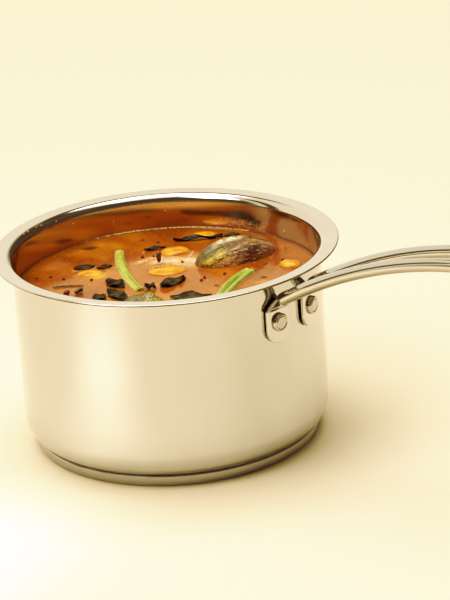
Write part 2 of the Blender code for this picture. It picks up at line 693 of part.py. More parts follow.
def build_stew(collection, toppings, pockets):
    """The stew up to its level, with seeds and flakes fused on and room for the sunk pieces."""
    stew = turned("stew", stew_profile(), collection, "stew")
    generator = random.Random(SCATTER_SEED)
    taken = footprints()
    for i, (x, y, turn) in enumerate(scatter(generator, SEED_COUNT, taken, 1.5 * MM)):
        bm = bmesh.new()
        bmesh.ops.create_icosphere(bm, subdivisions=1, radius=SEED_RADIUS)
        centre = Vector((x, y, STEW_LEVEL + SEED_RADIUS * SEED_FLOAT))
        matrix = Matrix.Translation(centre) @ Matrix.Rotation(turn, 4, "Z")
        bmesh.ops.transform(bm, matrix=matrix, verts=bm.verts)
        as_cutter(add_object(f"seed_{i:02d}", mesh_from(bm, "seed"), toppings))
    for i, (x, y, turn) in enumerate(scatter(generator, FLAKE_COUNT, taken, 2.0 * MM)):
        bm = bmesh.new()
        bmesh.ops.create_cube(bm, size=1.0)
        tilt = Matrix.Rotation(math.radians(generator.uniform(*FLAKE_TILT)), 4, "X")
        matrix = Matrix.Translation((x, y, STEW_LEVEL + FLAKE_SIZE.z * FLAKE_FLOAT))
        matrix = matrix @ Matrix.Rotation(turn, 4, "Z") @ tilt @ Matrix.Diagonal(FLAKE_SIZE.to_4d())
        bmesh.ops.transform(bm, matrix=matrix, verts=bm.verts)
        as_cutter(add_object(f"flake_{i:02d}", mesh_from(bm, "flake"), toppings))
    boolean(stew, "UNION", toppings, "Seeds and flakes")
    boolean(stew, "DIFFERENCE", pockets, "Room for the pieces")
    return stew


def build_rivet_pockets(pockets):
    """Room in the stew for the rivets' inner heads."""
    depth = BODY_WALL + 3.0 * GAP + RIVET_INNER_DOME
    for side, name in ((1.0, "inner_head_left"), (-1.0, "inner_head_right")):
        bm = bmesh.new()
        radius = RIVET_INNER_HEAD + GAP
        bmesh.ops.create_cone(bm, cap_ends=True, segments=16, radius1=radius, radius2=radius,
                              depth=2.0 * depth)
        head = add_object(name, mesh_from(bm, name), pockets)
        head.matrix_world = radial_frame(side * TAB_ANGLE, BODY_RADIUS, RIVET_HEIGHT)
        as_cutter(head)


def main():
    clear_scene()
    pot = add_collection("pot_of_lentil_stew")
    cutters = add_collection("cutters")
    pockets = add_collection("pockets")
    toppings = add_collection("fused_seeds")
    build_rivet_cutters(cutters)
    build_pan(pot, cutters)
    for name, spec in EGGPLANTS.items():
        build_eggplant(name, spec, pot, pockets)
    for name, spec in SHALLOTS.items():
        build_shallot(name, spec, pot, pockets)
    for name, spec in PODS.items():
        build_pod(name, spec, pot, pockets)
    for name, spec in TWIGS.items():
        build_twig(name, spec, pot)
    for name, spec in LEAVES.items():
        build_leaf(name, spec, pot)
    build_rivet_pockets(pockets)
    build_stew(pot, toppings, pockets)


main()
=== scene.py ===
# %% [markdown]
# # A saucepan of lentil stew
#
# This lesson dresses a small steel saucepan that stands filled with a brothy lentil stew. The measured
# model comes first and stays where it is: every piece made here stands for one of its pieces. Hard pieces
# are surfaces of revolution or sections carried along a path, and soft pieces are formulas on a grid. All
# of them are worked out as whole arrays with numpy.

# %% Load the measured model
import math
import random
from collections import namedtuple
from functools import cached_property, reduce

import bpy
import numpy as np
from mathutils import Matrix, Vector


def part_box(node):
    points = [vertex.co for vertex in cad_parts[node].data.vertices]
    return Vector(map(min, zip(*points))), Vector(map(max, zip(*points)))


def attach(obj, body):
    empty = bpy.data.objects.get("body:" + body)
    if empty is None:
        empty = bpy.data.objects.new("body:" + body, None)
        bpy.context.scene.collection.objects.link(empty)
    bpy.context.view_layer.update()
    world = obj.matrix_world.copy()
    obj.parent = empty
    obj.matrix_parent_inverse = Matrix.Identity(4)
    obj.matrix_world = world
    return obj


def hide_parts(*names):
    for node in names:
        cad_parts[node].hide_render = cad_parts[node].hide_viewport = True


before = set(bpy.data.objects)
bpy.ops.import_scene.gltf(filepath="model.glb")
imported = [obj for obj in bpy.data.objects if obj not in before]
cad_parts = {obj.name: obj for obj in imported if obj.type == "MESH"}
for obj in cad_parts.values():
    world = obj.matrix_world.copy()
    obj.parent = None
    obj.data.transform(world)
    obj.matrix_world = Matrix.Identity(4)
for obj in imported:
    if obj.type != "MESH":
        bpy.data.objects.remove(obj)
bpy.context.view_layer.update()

MM = 0.001

# %% [markdown]
# ## Where the camera stands
#
# The picture is taken from the front left of the handle, a little above the rim, through a long lens that
# keeps the rim's ellipse flat. A camera is easiest to reason about as a point that it looks at, a
# direction, a distance and a small roll, so those are the values here and the matrix follows from them.

# %% Camera
AIM = Vector((22.4, 18.0, 70.8)) * MM
VIEW_AZIMUTH, VIEW_ELEVATION, VIEW_ROLL = 38.8, 20.71, -3.79        # degrees; azimuth 0 looks along +Y
VIEW_DISTANCE = 1.5
LENS = 172.9


def direction(azimuth, elevation=0.0):
    """Unit vector towards azimuth a and elevation e in degrees: (sin a cos e, -cos a cos e, sin e)."""
    a, e = math.radians(azimuth), math.radians(elevation)
    return Vector((math.sin(a) * math.cos(e), -math.cos(a) * math.cos(e), math.sin(e)))


def look(place, target, roll=0.0):
    """Matrix of something at place whose -Z points at target, turned about its own Z by roll degrees."""
    turn = (target - place).to_track_quat("-Z", "Y").to_matrix().to_4x4()
    return Matrix.Translation(place) @ turn @ Matrix.Rotation(math.radians(roll), 4, "Z")


def add_object(name, data, matrix=None):
    """A new object in the scene, at the origin or at a matrix."""
    made = bpy.data.objects.new(name, data)
    if matrix:
        made.matrix_world = matrix
    scene.collection.objects.link(made)
    return made


scene = bpy.context.scene
lens = bpy.data.cameras.new("view")
lens.lens, lens.clip_start, lens.clip_end = LENS, 0.05, 30.0
camera_place = AIM + direction(VIEW_AZIMUTH, VIEW_ELEVATION) * VIEW_DISTANCE
scene.camera = add_object("view", lens, look(camera_place, AIM, VIEW_ROLL))
print("camera at", [round(c, 3) for c in camera_place])

# %% [markdown]
# ## How the picture is developed
#
# A photograph doesn't record light evenly. Bright cream tones flatten out before they turn white, and deep
# shadows lose their blue first and then a little green, which is why they look brown. A look-up image could
# do that; a few points on the view's own curves do it openly. Red and green get a soft shoulder, blue gets a
# deep toe and green a slight one.

# %% Film curves
SHOULDER = ((0.35, 0.35), (0.70, 0.70), (1.0, 0.915), (1.25, 0.972))
SHOULDER_END = (1.7, 1.0)
GREEN_TOE = ((0.03, 0.022), (0.12, 0.106))
BLUE_TOE = ((0.02, 0.011), (0.06, 0.026), (0.13, 0.062), (0.32, 0.28), (0.62, 0.62))

view = scene.view_settings
view.view_transform, view.use_curve_mapping = "Standard", True
film = view.curve_mapping
film.use_clip, film.extend = False, "EXTRAPOLATED"
for curve, inner_points in zip(film.curves, (SHOULDER, GREEN_TOE + SHOULDER, BLUE_TOE)):
    if inner_points is not BLUE_TOE:
        curve.points[-1].location = SHOULDER_END
    for point in inner_points:
        curve.points.new(*point)
film.update()
print("film: shoulder on red and green, toe on green and blue")

# %% [markdown]
# ## Nodes without clutter
#
# A material is a small network of nodes, and written out in full it hides the idea. Functions could add the
# nodes one by one; here a small class holds the network that is being built, so that a line says only what
# it adds: arithmetic, a blend of colours, noise, a number turned into a colour, or relief.

# %% Helpers for node trees
class Nodes:
    """A node tree with short ways to add to it. Wherever a value is asked for, a socket may stand."""

    def __init__(self, tree):
        self.tree = tree

    def feed(self, socket, value):
        """Link a socket to another, or set it to a number, a vector or a colour of three numbers."""
        if isinstance(value, bpy.types.NodeSocket):
            self.tree.links.new(value, socket)
        else:
            socket.default_value = (*value, 1.0) if socket.type == "RGBA" else value

    def add(self, kind, inputs=None, **settings):
        """A new shader node. Inputs map a socket's name or number to what feeds it."""
        made = self.tree.nodes.new("ShaderNode" + kind)
        for key, value in settings.items():
            setattr(made, key, value)
        for key, value in (inputs or {}).items():
            self.feed(made.inputs[key], value)
        return made

    def maths(self, how, *values):
        """One step of arithmetic."""
        return self.add("Math", dict(enumerate(values)), operation=how).outputs[0]

    def chain(self, how, values):
        """The same step of arithmetic over all values, one after the other."""
        return reduce(lambda first, second: self.maths(how, first, second), values)

    def between(self, value, low, high):
        """0 below low, 1 above high and a smooth step between; low may be the larger of the two."""
        inputs = {"Value": value, "From Min": low, "From Max": high}
        return self.add("MapRange", inputs, interpolation_type="SMOOTHSTEP").outputs["Result"]

    def mix(self, factor, first, second, how="MIX"):
        """Two colours blended by a factor, in any of Blender's blend modes."""
        inputs = {0: factor, 6: first, 7: second}
        return self.add("Mix", inputs, data_type="RGBA", blend_type=how).outputs[2]


# %% Helpers for finishes
class Finish(Nodes):
    """A Principled material that is being built; its other sockets are filled by name."""

    def __init__(self, name, colour, roughness, metallic=0.0, **sockets):
        self.material = bpy.data.materials.new(name)
        self.material.use_nodes = True
        super().__init__(self.material.node_tree)
        self.shader = self.tree.nodes["Principled BSDF"].inputs
        sockets.update(Base_Color=colour, Roughness=roughness, Metallic=metallic)
        for key, value in sockets.items():
            self.feed(self.shader[key.replace("_", " ")], value)

    @cached_property
    def place(self):
        """Object coordinates, which stay with the piece and are metres from the pan's axis."""
        return self.add("TexCoord").outputs["Object"]

    def colour(self, colour):
        """Link the surface's colour."""
        self.feed(self.shader["Base Color"], colour)

    def mark(self, name, kind="Fac"):
        """A number, or with kind="Color" a colour, that is stored on the mesh point by point."""
        return self.add("Attribute", attribute_name=name).outputs[kind]

    def noise(self, size, detail=3.0, roughness=0.5, stretch=None):
        """Noise whose blobs are about size metres wide, drawn out by stretch along X, Y and Z."""
        where = self.place
        if stretch:
            where = self.add("Mapping", {"Vector": where, "Scale": [1.0 / s for s in stretch]}).outputs[0]
        inputs = {"Vector": where, "Scale": 1.0 / size, "Detail": detail, "Roughness": roughness}
        return self.add("TexNoise", inputs).outputs["Fac"]

    def ramp(self, factor, *stops):
        """Colour from a number: stops are (position, colour) with smooth steps between them."""
        made = self.add("ValToRGB", {"Fac": factor})
        made.color_ramp.interpolation = "EASE"
        points = made.color_ramp.elements
        while len(points) < len(stops):
            points.new(0.5)
        for point, (position, colour) in zip(points, stops):
            point.position, point.color = position, (*colour, 1.0)
        return made.outputs["Color"]

    def relief(self, height, depth):
        """Bump: the surface seems to rise by depth metres where height is 1."""
        bump = self.add("Bump", {"Height": height, "Distance": depth, "Strength": 1.0})
        self.feed(self.shader["Normal"], bump.outputs["Normal"])


def patchy(name, colour, roughness, blobs, *stops, **sockets):
    """A material whose colour goes through the stops with noise; blobs are the noise's size and so on."""
    made = Finish(name, colour, roughness, **sockets)
    made.colour(made.ramp(made.noise(*blobs), *stops))
    return made.material


print("helpers for nodes and finishes ready")

# %% [markdown]
# ## Light for polished steel
#
# Polished steel has hardly any colour of its own: it shows the room. The room here is a cream studio with
# a bright soft box overhead, a soft light from the front left, and dark walls on the right and behind the
# camera, which keep the broth deep. A dark strip upright on the left draws the thin line along each rod, and
# a dark ring high up behind draws the one inside the rim. A real room could be modelled round the pan; a
# world shader that looks at the direction of each ray gives the same reflections with nothing in the way.
# The pan's wall mirrors only the floor close to it, and the higher on the wall, the further out on the
# floor. So three pools of light in a row, wider outwards, draw the bright band down the steel.

# %% World
ROOM_CREAM = (1.30, 1.17, 0.93)
ROOM_DARK = (0.110, 0.073, 0.070)
DARK_PLACES = (         # smooth steps that are multiplied: what each reads, where it starts and ends
    (("front", 0.14, 0.40), ("height", 0.86, 0.74)),                                    # behind the camera
    (("height", 0.60, 0.68), ("height", 0.88, 0.80), ("right", -0.42, -0.22)),          # the ring high up
    (("right", 0.02, 0.35), ("height", 0.80, 0.60)),                                    # on the right
    (("front", -0.14, -0.06), ("front", 0.16, 0.08), ("right", -0.20, -0.40), ("height", 0.85, 0.75)))

scene.world = bpy.data.worlds.new("studio")
scene.world.use_nodes = True
sky = Nodes(scene.world.node_tree)
ray = sky.add("TexCoord").outputs["Generated"]
reads = {"height": sky.add("SeparateXYZ", {0: ray}).outputs["Z"]}
for name, azimuth in (("front", VIEW_AZIMUTH), ("right", VIEW_AZIMUTH + 90.0)):
    dot = sky.add("VectorMath", {0: ray, 1: direction(azimuth)}, operation="DOT_PRODUCT")
    reads[name] = dot.outputs["Value"]
walls = [sky.chain("MULTIPLY", [sky.between(reads[name], low, high) for name, low, high in steps])
         for steps in DARK_PLACES]
background = sky.tree.nodes["Background"].inputs
sky.feed(background["Color"], sky.mix(sky.chain("MAXIMUM", walls), ROOM_CREAM, ROOM_DARK))
background["Strength"].default_value = 1.0
print("world: cream studio with", len(walls), "dark places")

# %% Lights and floor
BAND_AZIMUTH = -26.3            # of the bright band on the wall, in degrees from the camera's
BAND_DISTANCE = 80.0 * MM       # of the wall from the pan's axis
POOL_HEIGHT = 0.60              # of the lamps over the floor
POOLS = ((0.060, 10.0, 6.0), (0.140, 17.0, 7.0), (0.230, 24.0, 6.5))    # distance from the wall, cone, power
FLOOR_SIZE = 12.0


def lamp(name, kind, place, target, power, colour, **settings):
    """A light at place that looks at target; settings are its own, such as its size."""
    light = bpy.data.lights.new(name, kind)
    light.energy, light.color = power, colour
    for key, value in settings.items():
        setattr(light, key, value)
    add_object(name, light, look(place, target))


for name, *angles, distance, size, power, colour in (
        ("overhead_box", 218.8, 82.0, 4.0, 3.2, 112.0, (1.0, 0.97, 0.92)),
        ("left_box", -14.0, 52.0, 0.85, 0.42, 2.8, (1.0, 0.95, 0.88))):
    lamp(name, "AREA", AIM + direction(*angles) * distance, AIM, power, colour, shape="SQUARE", size=size)

band = direction(VIEW_AZIMUTH + BAND_AZIMUTH) * BAND_DISTANCE
band_sees = direction(VIEW_AZIMUTH + 2.0 * BAND_AZIMUTH)        # mirrored about the wall's own direction
for number, (reach, cone, power) in enumerate(POOLS, 1):
    spot = band + band_sees * reach
    lamp(f"floor_pool_{number}", "SPOT", spot + Vector((0.0, 0.0, POOL_HEIGHT)), spot, power,
         (1.0, 0.97, 0.92), spot_size=math.radians(cone), spot_blend=1.0, shadow_soft_size=0.05)

half_floor = FLOOR_SIZE / 2.0
corners = [(x * half_floor, y * half_floor, 0.0) for x, y in ((-1, -1), (1, -1), (1, 1), (-1, 1))]
floor_mesh = bpy.data.meshes.new("floor")
floor_mesh.from_pydata(corners, [], [(0, 1, 2, 3)])
floor_mesh.materials.append(Finish("studio_floor", (0.92, 0.80, 0.60), 0.9, Specular_IOR_Level=0.1).material)
floor = add_object("floor", floor_mesh)
print("two soft lights,", len(POOLS), "pools of light and a pale floor")

# %% [markdown]
# ## From a formula to a mesh
#
# Every piece below is a grid of points: rows along the piece, columns around it. `skin` joins the grid into
# quads and `make_piece` builds the mesh with its faces pointing out, hands it its finish and hides the
# measured pieces it stands for. Blender could recalculate the normals; the volume under the triangles tells
# more simply which way they face, as it comes out negative when a closed mesh is inside out.

# %% Helpers for surfaces
def skin(rows, tips=None):
    """(points, faces) of a grid whose columns run all round a piece.

    Each point is joined to its neighbours by quads. A fan of triangles closes the first and the last row
    at a tip of its own, or at the middle of the row.
    """
    count, size = rows.shape[:2]
    index = np.arange(count * size).reshape(count, size)
    index = np.hstack([index, index[:, :1]])
    quads = np.stack([index[:-1, :-1], index[:-1, 1:], index[1:, 1:], index[1:, :-1]], axis=-1)
    faces = quads.reshape(-1, 4).tolist()
    for tip, ring, step in ((count * size, index[0], 1), (count * size + 1, index[-1], -1)):
        faces += np.stack([ring[1:], ring[:-1], np.full(size, tip)], axis=-1)[:, ::step].tolist()
    return np.vstack([rows.reshape(-1, 3), rows[[0, -1]].mean(axis=1) if tips is None else tips]), faces


def make_piece(name, surface, finishes, replaced, marks=None, sharp=60.0, finish_of_face=0):
    """A finished piece at the origin that rides on the model, with its faces pointing out.

    Its signed volume is one sixth of the sum of a . (b x c) over its triangles, positive if they face
    out. Marks are numbers or colours for each point, stored on the mesh for the material to read.
    """
    points, faces = surface
    mesh = bpy.data.meshes.new(name)
    mesh.from_pydata(points.tolist(), [], faces)
    mesh.calc_loop_triangles()
    corners = np.empty(len(mesh.loop_triangles) * 3, dtype=np.int32)
    mesh.loop_triangles.foreach_get("vertices", corners)
    a, b, c = points[corners.reshape(-1, 3)].transpose(1, 0, 2)
    if np.einsum("ij,ij->i", a, np.cross(b, c)).sum() < 0.0:
        mesh.flip_normals()
    for key, values in (marks or {}).items():
        if values.ndim == 1:
            mesh.attributes.new(key, "FLOAT", "POINT").data.foreach_set("value", values.astype(np.float32))
        else:
            paint = np.column_stack([values, np.ones(len(values))]).astype(np.float32)
            mesh.attributes.new(key, "FLOAT_COLOR", "POINT").data.foreach_set("color", paint.ravel())
    mesh.shade_smooth()
    mesh.set_sharp_from_angle(angle=math.radians(sharp))
    for finish in finishes:
        mesh.materials.append(finish)
    mesh.polygons.foreach_set("material_index", np.full(len(faces), finish_of_face, np.int32))
    piece = add_object(name, mesh)
    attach(piece, "root")
    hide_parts(*replaced)
    print(f"{name}: {len(mesh.loop_triangles)} triangles")


# %% Helpers for outlines
def full_turn(steps):
    """Evenly spaced angles all the way round."""
    return np.linspace(0.0, 2.0 * np.pi, steps, endpoint=False)


def around_axis(radius, angle, level):
    """Points (r cos a, r sin a, z)."""
    return np.stack(np.broadcast_arrays(radius * np.cos(angle), radius * np.sin(angle), level), axis=-1)


def turned(outline, steps):
    """Rows of a surface of revolution: each outline point (r, z) all round the axis."""
    radius, level = np.asarray(outline).T[:, :, None]
    return around_axis(radius, full_turn(steps), level)


def arc(centre, radius, start, end, count):
    """Points of a circular arc: centre + radius * (cos a, sin a) for evenly spaced angles in degrees."""
    turn = np.radians(np.linspace(start, end, count))
    return np.column_stack([centre[0] + radius * np.cos(turn), centre[1] + radius * np.sin(turn)])


def straight(start, end, inset=0.4 * MM):
    """Two more points just inside a straight run's ends, which keep its shading flat."""
    start, end = np.asarray(start, float), np.asarray(end, float)
    share = inset / np.linalg.norm(end - start)
    return np.array([start + (end - start) * share, end + (start - end) * share])


def ease(value, low, high):
    """0 below low, 1 above high, and t * t * (3 - 2 t) between."""
    t = np.clip((value - low) / (high - low), 0.0, 1.0)
    return t * t * (3.0 - 2.0 * t)


# %% Helpers for uneven form and colour
def ripple(points, size, seed, waves=14):
    """Smooth noise from -1 to 1: the mean of sines in random directions, whose wavelength is near size."""
    draw = np.random.default_rng(seed)
    heading = draw.normal(size=(waves, 3))
    heading /= np.linalg.norm(heading, axis=1)[:, None]
    pace = 2.0 * np.pi / (size * draw.uniform(0.7, 1.5, waves))
    phase = draw.uniform(0.0, 2.0 * np.pi, waves)
    return np.sin(points @ (heading * pace[:, None]).T + phase).mean(axis=-1) * 2.0


def painted(u, v, ground, patches, seed, reach=(0.05, 6.0), size=0.3):
    """Colour of every point: the ground, then patch after patch laid over it.

    A patch is (u, half length, v, half width, colour, strength) and covers exp(-(a^4 + b^4)), where a and b
    are the distances from its middle in half sizes. Noise shifts u and v by up to reach, so that no edge
    of a patch is straight.
    """
    sheet = np.column_stack([u / reach[0], v / reach[1], np.zeros(len(u))]) * 0.05
    u = u + reach[0] * ripple(sheet, size, seed)
    v = v + reach[1] * ripple(sheet, size, seed + 1)
    colour = np.tile(ground, (len(u), 1))
    for u0, length, v0, width, tint, strength in patches:
        cover = strength * np.exp(-(((u - u0) / length) ** 4 + ((v - v0) / width) ** 4))
        colour += (np.array(tint) - colour) * cover[:, None]
    return colour


print("surface helpers ready")

# %% [markdown]
# ## The saucepan's body
#
# The real body is pressed from one sheet of stainless steel: a flat floor, a small corner, a straight wall
# and a rim that bends outwards like a trumpet so that it pours well. A sheet with Solidify and Bevel could
# be close; a turned outline gives exactly that. The arcs get many points, and the straight runs get a point
# close to each end, because a mirror shows every slip in the shading.

# %% Sizes of the pan
WALL = 1.0 * MM
BODY_RADIUS = 80.0 * MM
CORNER_RADIUS = 15.0 * MM
RIM_RADIUS = 89.5 * MM
RIM_BEND = 3.4 * MM
RIM_RISE = 4.0                  # degrees, outwards and up
CENTRE_RING = 4.0 * MM          # the smallest ring of a flat bottom
PAN_STEPS = 320
BODY_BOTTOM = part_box("pan_body")[0][2]
RIM_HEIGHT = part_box("pan_rim")[1][2]

inner_radius, inner_bend = BODY_RADIUS - WALL, RIM_BEND + WALL
floor_z = BODY_BOTTOM + WALL
corner_centre = (BODY_RADIUS - CORNER_RADIUS, BODY_BOTTOM + CORNER_RADIUS)
rise = math.radians(RIM_RISE)
bend_x, edge_x = BODY_RADIUS + RIM_BEND, RIM_RADIUS - WALL / 2.0
flange_start = bend_x - inner_bend * math.sin(rise)
bend_z = RIM_HEIGHT - (edge_x - flange_start) * math.tan(rise) - inner_bend * math.cos(rise)
edge_z = RIM_HEIGHT - WALL / 2.0 / math.cos(rise)
print(f"rim {2 * RIM_RADIUS / MM:.0f} mm wide at {RIM_HEIGHT / MM:.1f} mm, bend at {bend_z / MM:.1f} mm")


# %% The body's outline
def body_outline():
    """(inside, outside): floor, corner, wall, bend and flange; then edge, underside, wall and corner."""
    floor_edge = corner_centre[0] - 0.5 * MM
    inside = [
        np.linspace((CENTRE_RING, floor_z), (floor_edge, floor_z), 8),
        arc(corner_centre, CORNER_RADIUS - WALL, -90.0, 0.0, 16),
        straight((inner_radius, corner_centre[1]), (inner_radius, bend_z)),
        arc((bend_x, bend_z), inner_bend, 180.0, 90.0 + RIM_RISE, 24),
        straight((flange_start, bend_z + inner_bend * math.cos(rise)), (edge_x, RIM_HEIGHT)),
    ]
    outside = [
        arc((edge_x, edge_z), WALL / 2.0, 90.0 + RIM_RISE, RIM_RISE - 90.0, 10),
        arc((bend_x, bend_z), RIM_BEND, 90.0 + RIM_RISE, 180.0, 18),
        straight((BODY_RADIUS, bend_z), (BODY_RADIUS, corner_centre[1])),
        arc(corner_centre, CORNER_RADIUS, 0.0, -90.0, 24),
        np.linspace((floor_edge, BODY_BOTTOM), (CENTRE_RING, BODY_BOTTOM), 6),
    ]
    return np.vstack(inside), np.vstack(outside)


# %% [markdown]
# ### Polished steel
#
# Buffed steel mirrors the room with a little haze. It is brushed round the pan, so its highlights smear up
# and down into soft upright bands. A second, rougher coat could give the same look; one metal with some
# anisotropy is simpler, and a Tangent node that runs round Z gives the brushing its direction. Inside, a
# film of broth tints the lining as high as the stew has splashed. The rod and the base are buffed
# differently from the body, so each has a tone of its own. The tabs get a lighter copy of the rod's steel,
# a painted highlight on their flat faces, and the lower half of the rim's round edge gets a dark brown
# steel, a painted shade line under the flange.

# %% Steel materials
FILM_TOP = 96.0 * MM
FILM_FADE = 5.0 * MM
FILM_DROP = 10.0 * MM


def steel_finish(name, colour, haze, brushed=0.0, film=None):
    """Polished steel with a little haze, which brushing round the pan's axis smears up and down.

    film is the colour of a film of broth that covers the steel up to FILM_TOP, with an uneven edge, and
    less high by FILM_DROP on the pan's far right, where less has splashed.
    """
    steel = Finish(name, colour, haze, 1.0, Anisotropic=brushed, Anisotropic_Rotation=0.25)
    smears = steel.noise(22.0 * MM, 4.0, stretch=(1.0, 1.0, 2.5))
    shade = steel.ramp(smears, (0.35, [c * 0.97 for c in colour]), (0.65, colour))
    if film:
        x, y, z = steel.add("SeparateXYZ", {0: steel.place}).outputs
        splashed = [steel.between(y, 35.0 * MM, 72.0 * MM), steel.between(x, -30.0 * MM, 0.0)]
        level = steel.maths("MULTIPLY_ADD", steel.chain("MULTIPLY", splashed), FILM_DROP, z)
        uneven = steel.maths("MULTIPLY_ADD", smears, -FILM_FADE, level)
        shade = steel.mix(steel.between(uneven, FILM_TOP, FILM_TOP - FILM_FADE), shade, film)
    steel.colour(shade)
    wear = {"Value": steel.noise(9.0 * MM, 5.0, 0.6), "To Min": haze * 0.8, "To Max": haze * 1.2}
    steel.feed(steel.shader["Roughness"], steel.add("MapRange", wear).outputs["Result"])
    if brushed:
        tangent = steel.add("Tangent", direction_type="RADIAL", axis="Z")
        steel.feed(steel.shader["Tangent"], tangent.outputs["Tangent"])
    return steel.material


outside_steel = steel_finish("steel_outside", (0.61, 0.605, 0.61), 0.10, 0.6)
inside_steel = steel_finish("steel_inside", (0.62, 0.58, 0.53), 0.11, 0.5, film=(0.62, 0.43, 0.25))
# painted shade: a dark brown steel for the lower half of the rim's round edge, the dark line under the
# flange
rim_edge_shade_steel = steel_finish("steel_rim_edge_painted_shade", (0.20, 0.16, 0.12), 0.35)
rod_steel = steel_finish("steel_rod", (0.53, 0.51, 0.49), 0.09)
# painted light: the tabs' steel is a lighter copy of the rod's, for the light on their flat faces
tab_lit_steel = steel_finish("steel_tab_painted_light", (0.66, 0.65, 0.65), 0.09)
base_steel = steel_finish("steel_base", (0.46, 0.45, 0.47), 0.10, 0.5)
print("six steel finishes")

# %% Build the body
BRIGHT_EDGE_ROWS, SHADED_EDGE_ROWS = 4, 5          # of the rim's round edge, from the top down

inside, outside = body_outline()
surface = skin(turned(np.vstack([inside, outside]), PAN_STEPS))
row = np.array([face[0] // PAN_STEPS for face in surface[1]])
edge_row = len(inside) + BRIGHT_EDGE_ROWS
# the rows under the bright ones take the dark steel, a painted shade line along the rim's edge
finish_of_face = np.select([row < edge_row, row < edge_row + SHADED_EDGE_ROWS], [1, 2], 0)
make_piece("saucepan_body", surface, (outside_steel, inside_steel, rim_edge_shade_steel),
           ("pan_body", "pan_rim"), finish_of_face=finish_of_face)
print("faces outside, inside and on the cut edge:", np.bincount(finish_of_face).tolist())

# %% [markdown]
# ## The base
#
# A thick disc is pressed over the bottom corner to spread the heat. It is duller than the body, its foot
# is rounded, and a thin groove shows where it meets the wall. The foot could be a bevel; a quarter of an
# upright ellipse turns most of the side a little downwards, so that it mirrors the floor close to it.

# %% Base cap
BASE_RADIUS = 74.7 * MM
FOOT_HEIGHT = 5.0 * MM
FOOT_DEPTH = 2.2 * MM
BASE_LIP = 0.5 * MM
GAP = 0.3 * MM


def base_outline():
    """Hollow top that hugs the corner, a rounded lip, the side and the round foot."""
    hug = CORNER_RADIUS + GAP
    lip_x = BASE_RADIUS - BASE_LIP
    lip_angle = -math.degrees(math.acos((lip_x - corner_centre[0]) / hug))
    lip_z = corner_centre[1] + hug * math.sin(math.radians(lip_angle))
    foot = arc((0.0, 0.0), 1.0, 0.0, -90.0, 14) * [FOOT_DEPTH, FOOT_HEIGHT]
    return np.vstack([
        arc(corner_centre, hug, -88.0, lip_angle, 14),
        arc((lip_x, lip_z - BASE_LIP), BASE_LIP, 88.0, 0.0, 6),
        straight((BASE_RADIUS, lip_z - BASE_LIP), (BASE_RADIUS, FOOT_HEIGHT), 0.3 * MM),
        foot + [BASE_RADIUS - FOOT_DEPTH, FOOT_HEIGHT],
    ])


surface = skin(turned(base_outline(), PAN_STEPS), ((0.0, 0.0, BODY_BOTTOM - GAP), (0.0, 0.0, 0.0)))
make_piece("saucepan_base", surface, (base_steel,), ("base_cap",))

# %% [markdown]
# ## The handle
#
# One steel rod is bent to a long loop. Both of its ends are hammered flat to tabs that lie against the
# wall, and a rivet holds each. A curve with a bevel would keep one section all the way. A section carried
# along a path can change: its width, thickness and squareness go from a flat tab to a round rod round the
# elbow. The legs rise as a parabola.

# %% Sizes of the handle
ROD_RADIUS = 3.37 * MM
LEG_START_SPREAD = 12.4 * MM            # half the distance between the legs at the wall
LEG_TAPER = 0.0218                      # how fast they close up
LEG_X = BODY_RADIUS + 4.0 * MM          # where the legs start
ARCH_TOP_X = 205.7 * MM
ARCH_TOP_Z = 128.2 * MM
ARCH_CURVE = 0.00238 / MM
HANDLE_END = 256.0 * MM
TAB_WIDTH = 15.0 * MM
TAB_THICKNESS = 2.4 * MM
TAB_BOTTOM = 69.3 * MM
TAB_ANGLE = math.radians(9.44)
TAB_SQUARE = 5.0
ELBOW_RADIUS = 7.0 * MM
ROD_SIDES = 48


def rod_height(x):
    """The legs' height: a parabola, ARCH_TOP_Z - ARCH_CURVE * (ARCH_TOP_X - x) ** 2."""
    return ARCH_TOP_Z - ARCH_CURVE * (ARCH_TOP_X - x) ** 2


def rod_slope(x):
    """The parabola's slope, the derivative of its height."""
    return 2.0 * ARCH_CURVE * (ARCH_TOP_X - x)


def leg_spread(x):
    """Half the distance between the legs, which closes up evenly."""
    return LEG_START_SPREAD - LEG_TAPER * (x - LEG_X)


tab_out = np.array([math.cos(TAB_ANGLE), math.sin(TAB_ANGLE), 0.0])
tab_across = np.array([-math.sin(TAB_ANGLE), math.cos(TAB_ANGLE), 0.0])
tab_foot = tab_out * (BODY_RADIUS + GAP + TAB_THICKNESS / 2.0)
leg_pitch = math.atan(rod_slope(LEG_X))
tab_top = rod_height(LEG_X) - ELBOW_RADIUS * math.cos(leg_pitch)
loop_x = HANDLE_END - ROD_RADIUS - leg_spread(HANDLE_END - 12.0 * MM)
print(f"leg starts at z {tab_top / MM:.1f} mm and climbs at {math.degrees(leg_pitch):.0f} degrees")


# %% Helpers for a section on a path
def unit(vectors):
    """Each row divided by its length."""
    return vectors / np.linalg.norm(vectors, axis=-1, keepdims=True)


def superellipse(turn, square):
    """(|cos|^(2/n), |sin|^(2/n)) with their signs, n = square: round at 2, nearly a rectangle at 5."""
    return [np.sign(wave) * np.abs(wave) ** (2.0 / square) for wave in (np.cos(turn), np.sin(turn))]


def carried(centres, across, up, a, b):
    """Sections carried along a path: centre + across * a + up * b, with a row of a and b for each centre."""
    return centres[:, None] + across[:, None] * a[..., None] + up[:, None] * b[..., None]


def level_frame(centres):
    """(across, up) of a nearly level path: unit vectors at right angles to its direction."""
    along = unit(np.gradient(centres, axis=0))
    across = unit(np.stack([-along[:, 1], along[:, 0], np.zeros(len(centres))], axis=-1))
    return across, np.cross(along, across)


def stretch(centres, along, across, width=2.0 * ROD_RADIUS, thickness=2.0 * ROD_RADIUS, square=2.0):
    """One stretch of the rod, with a row of each value for every centre; round unless told otherwise."""
    count = len(centres)
    vectors = [np.broadcast_to(v, (count, 3)) for v in (centres, along, across)]
    return vectors + [np.broadcast_to(v, count) for v in (width, thickness, square)]


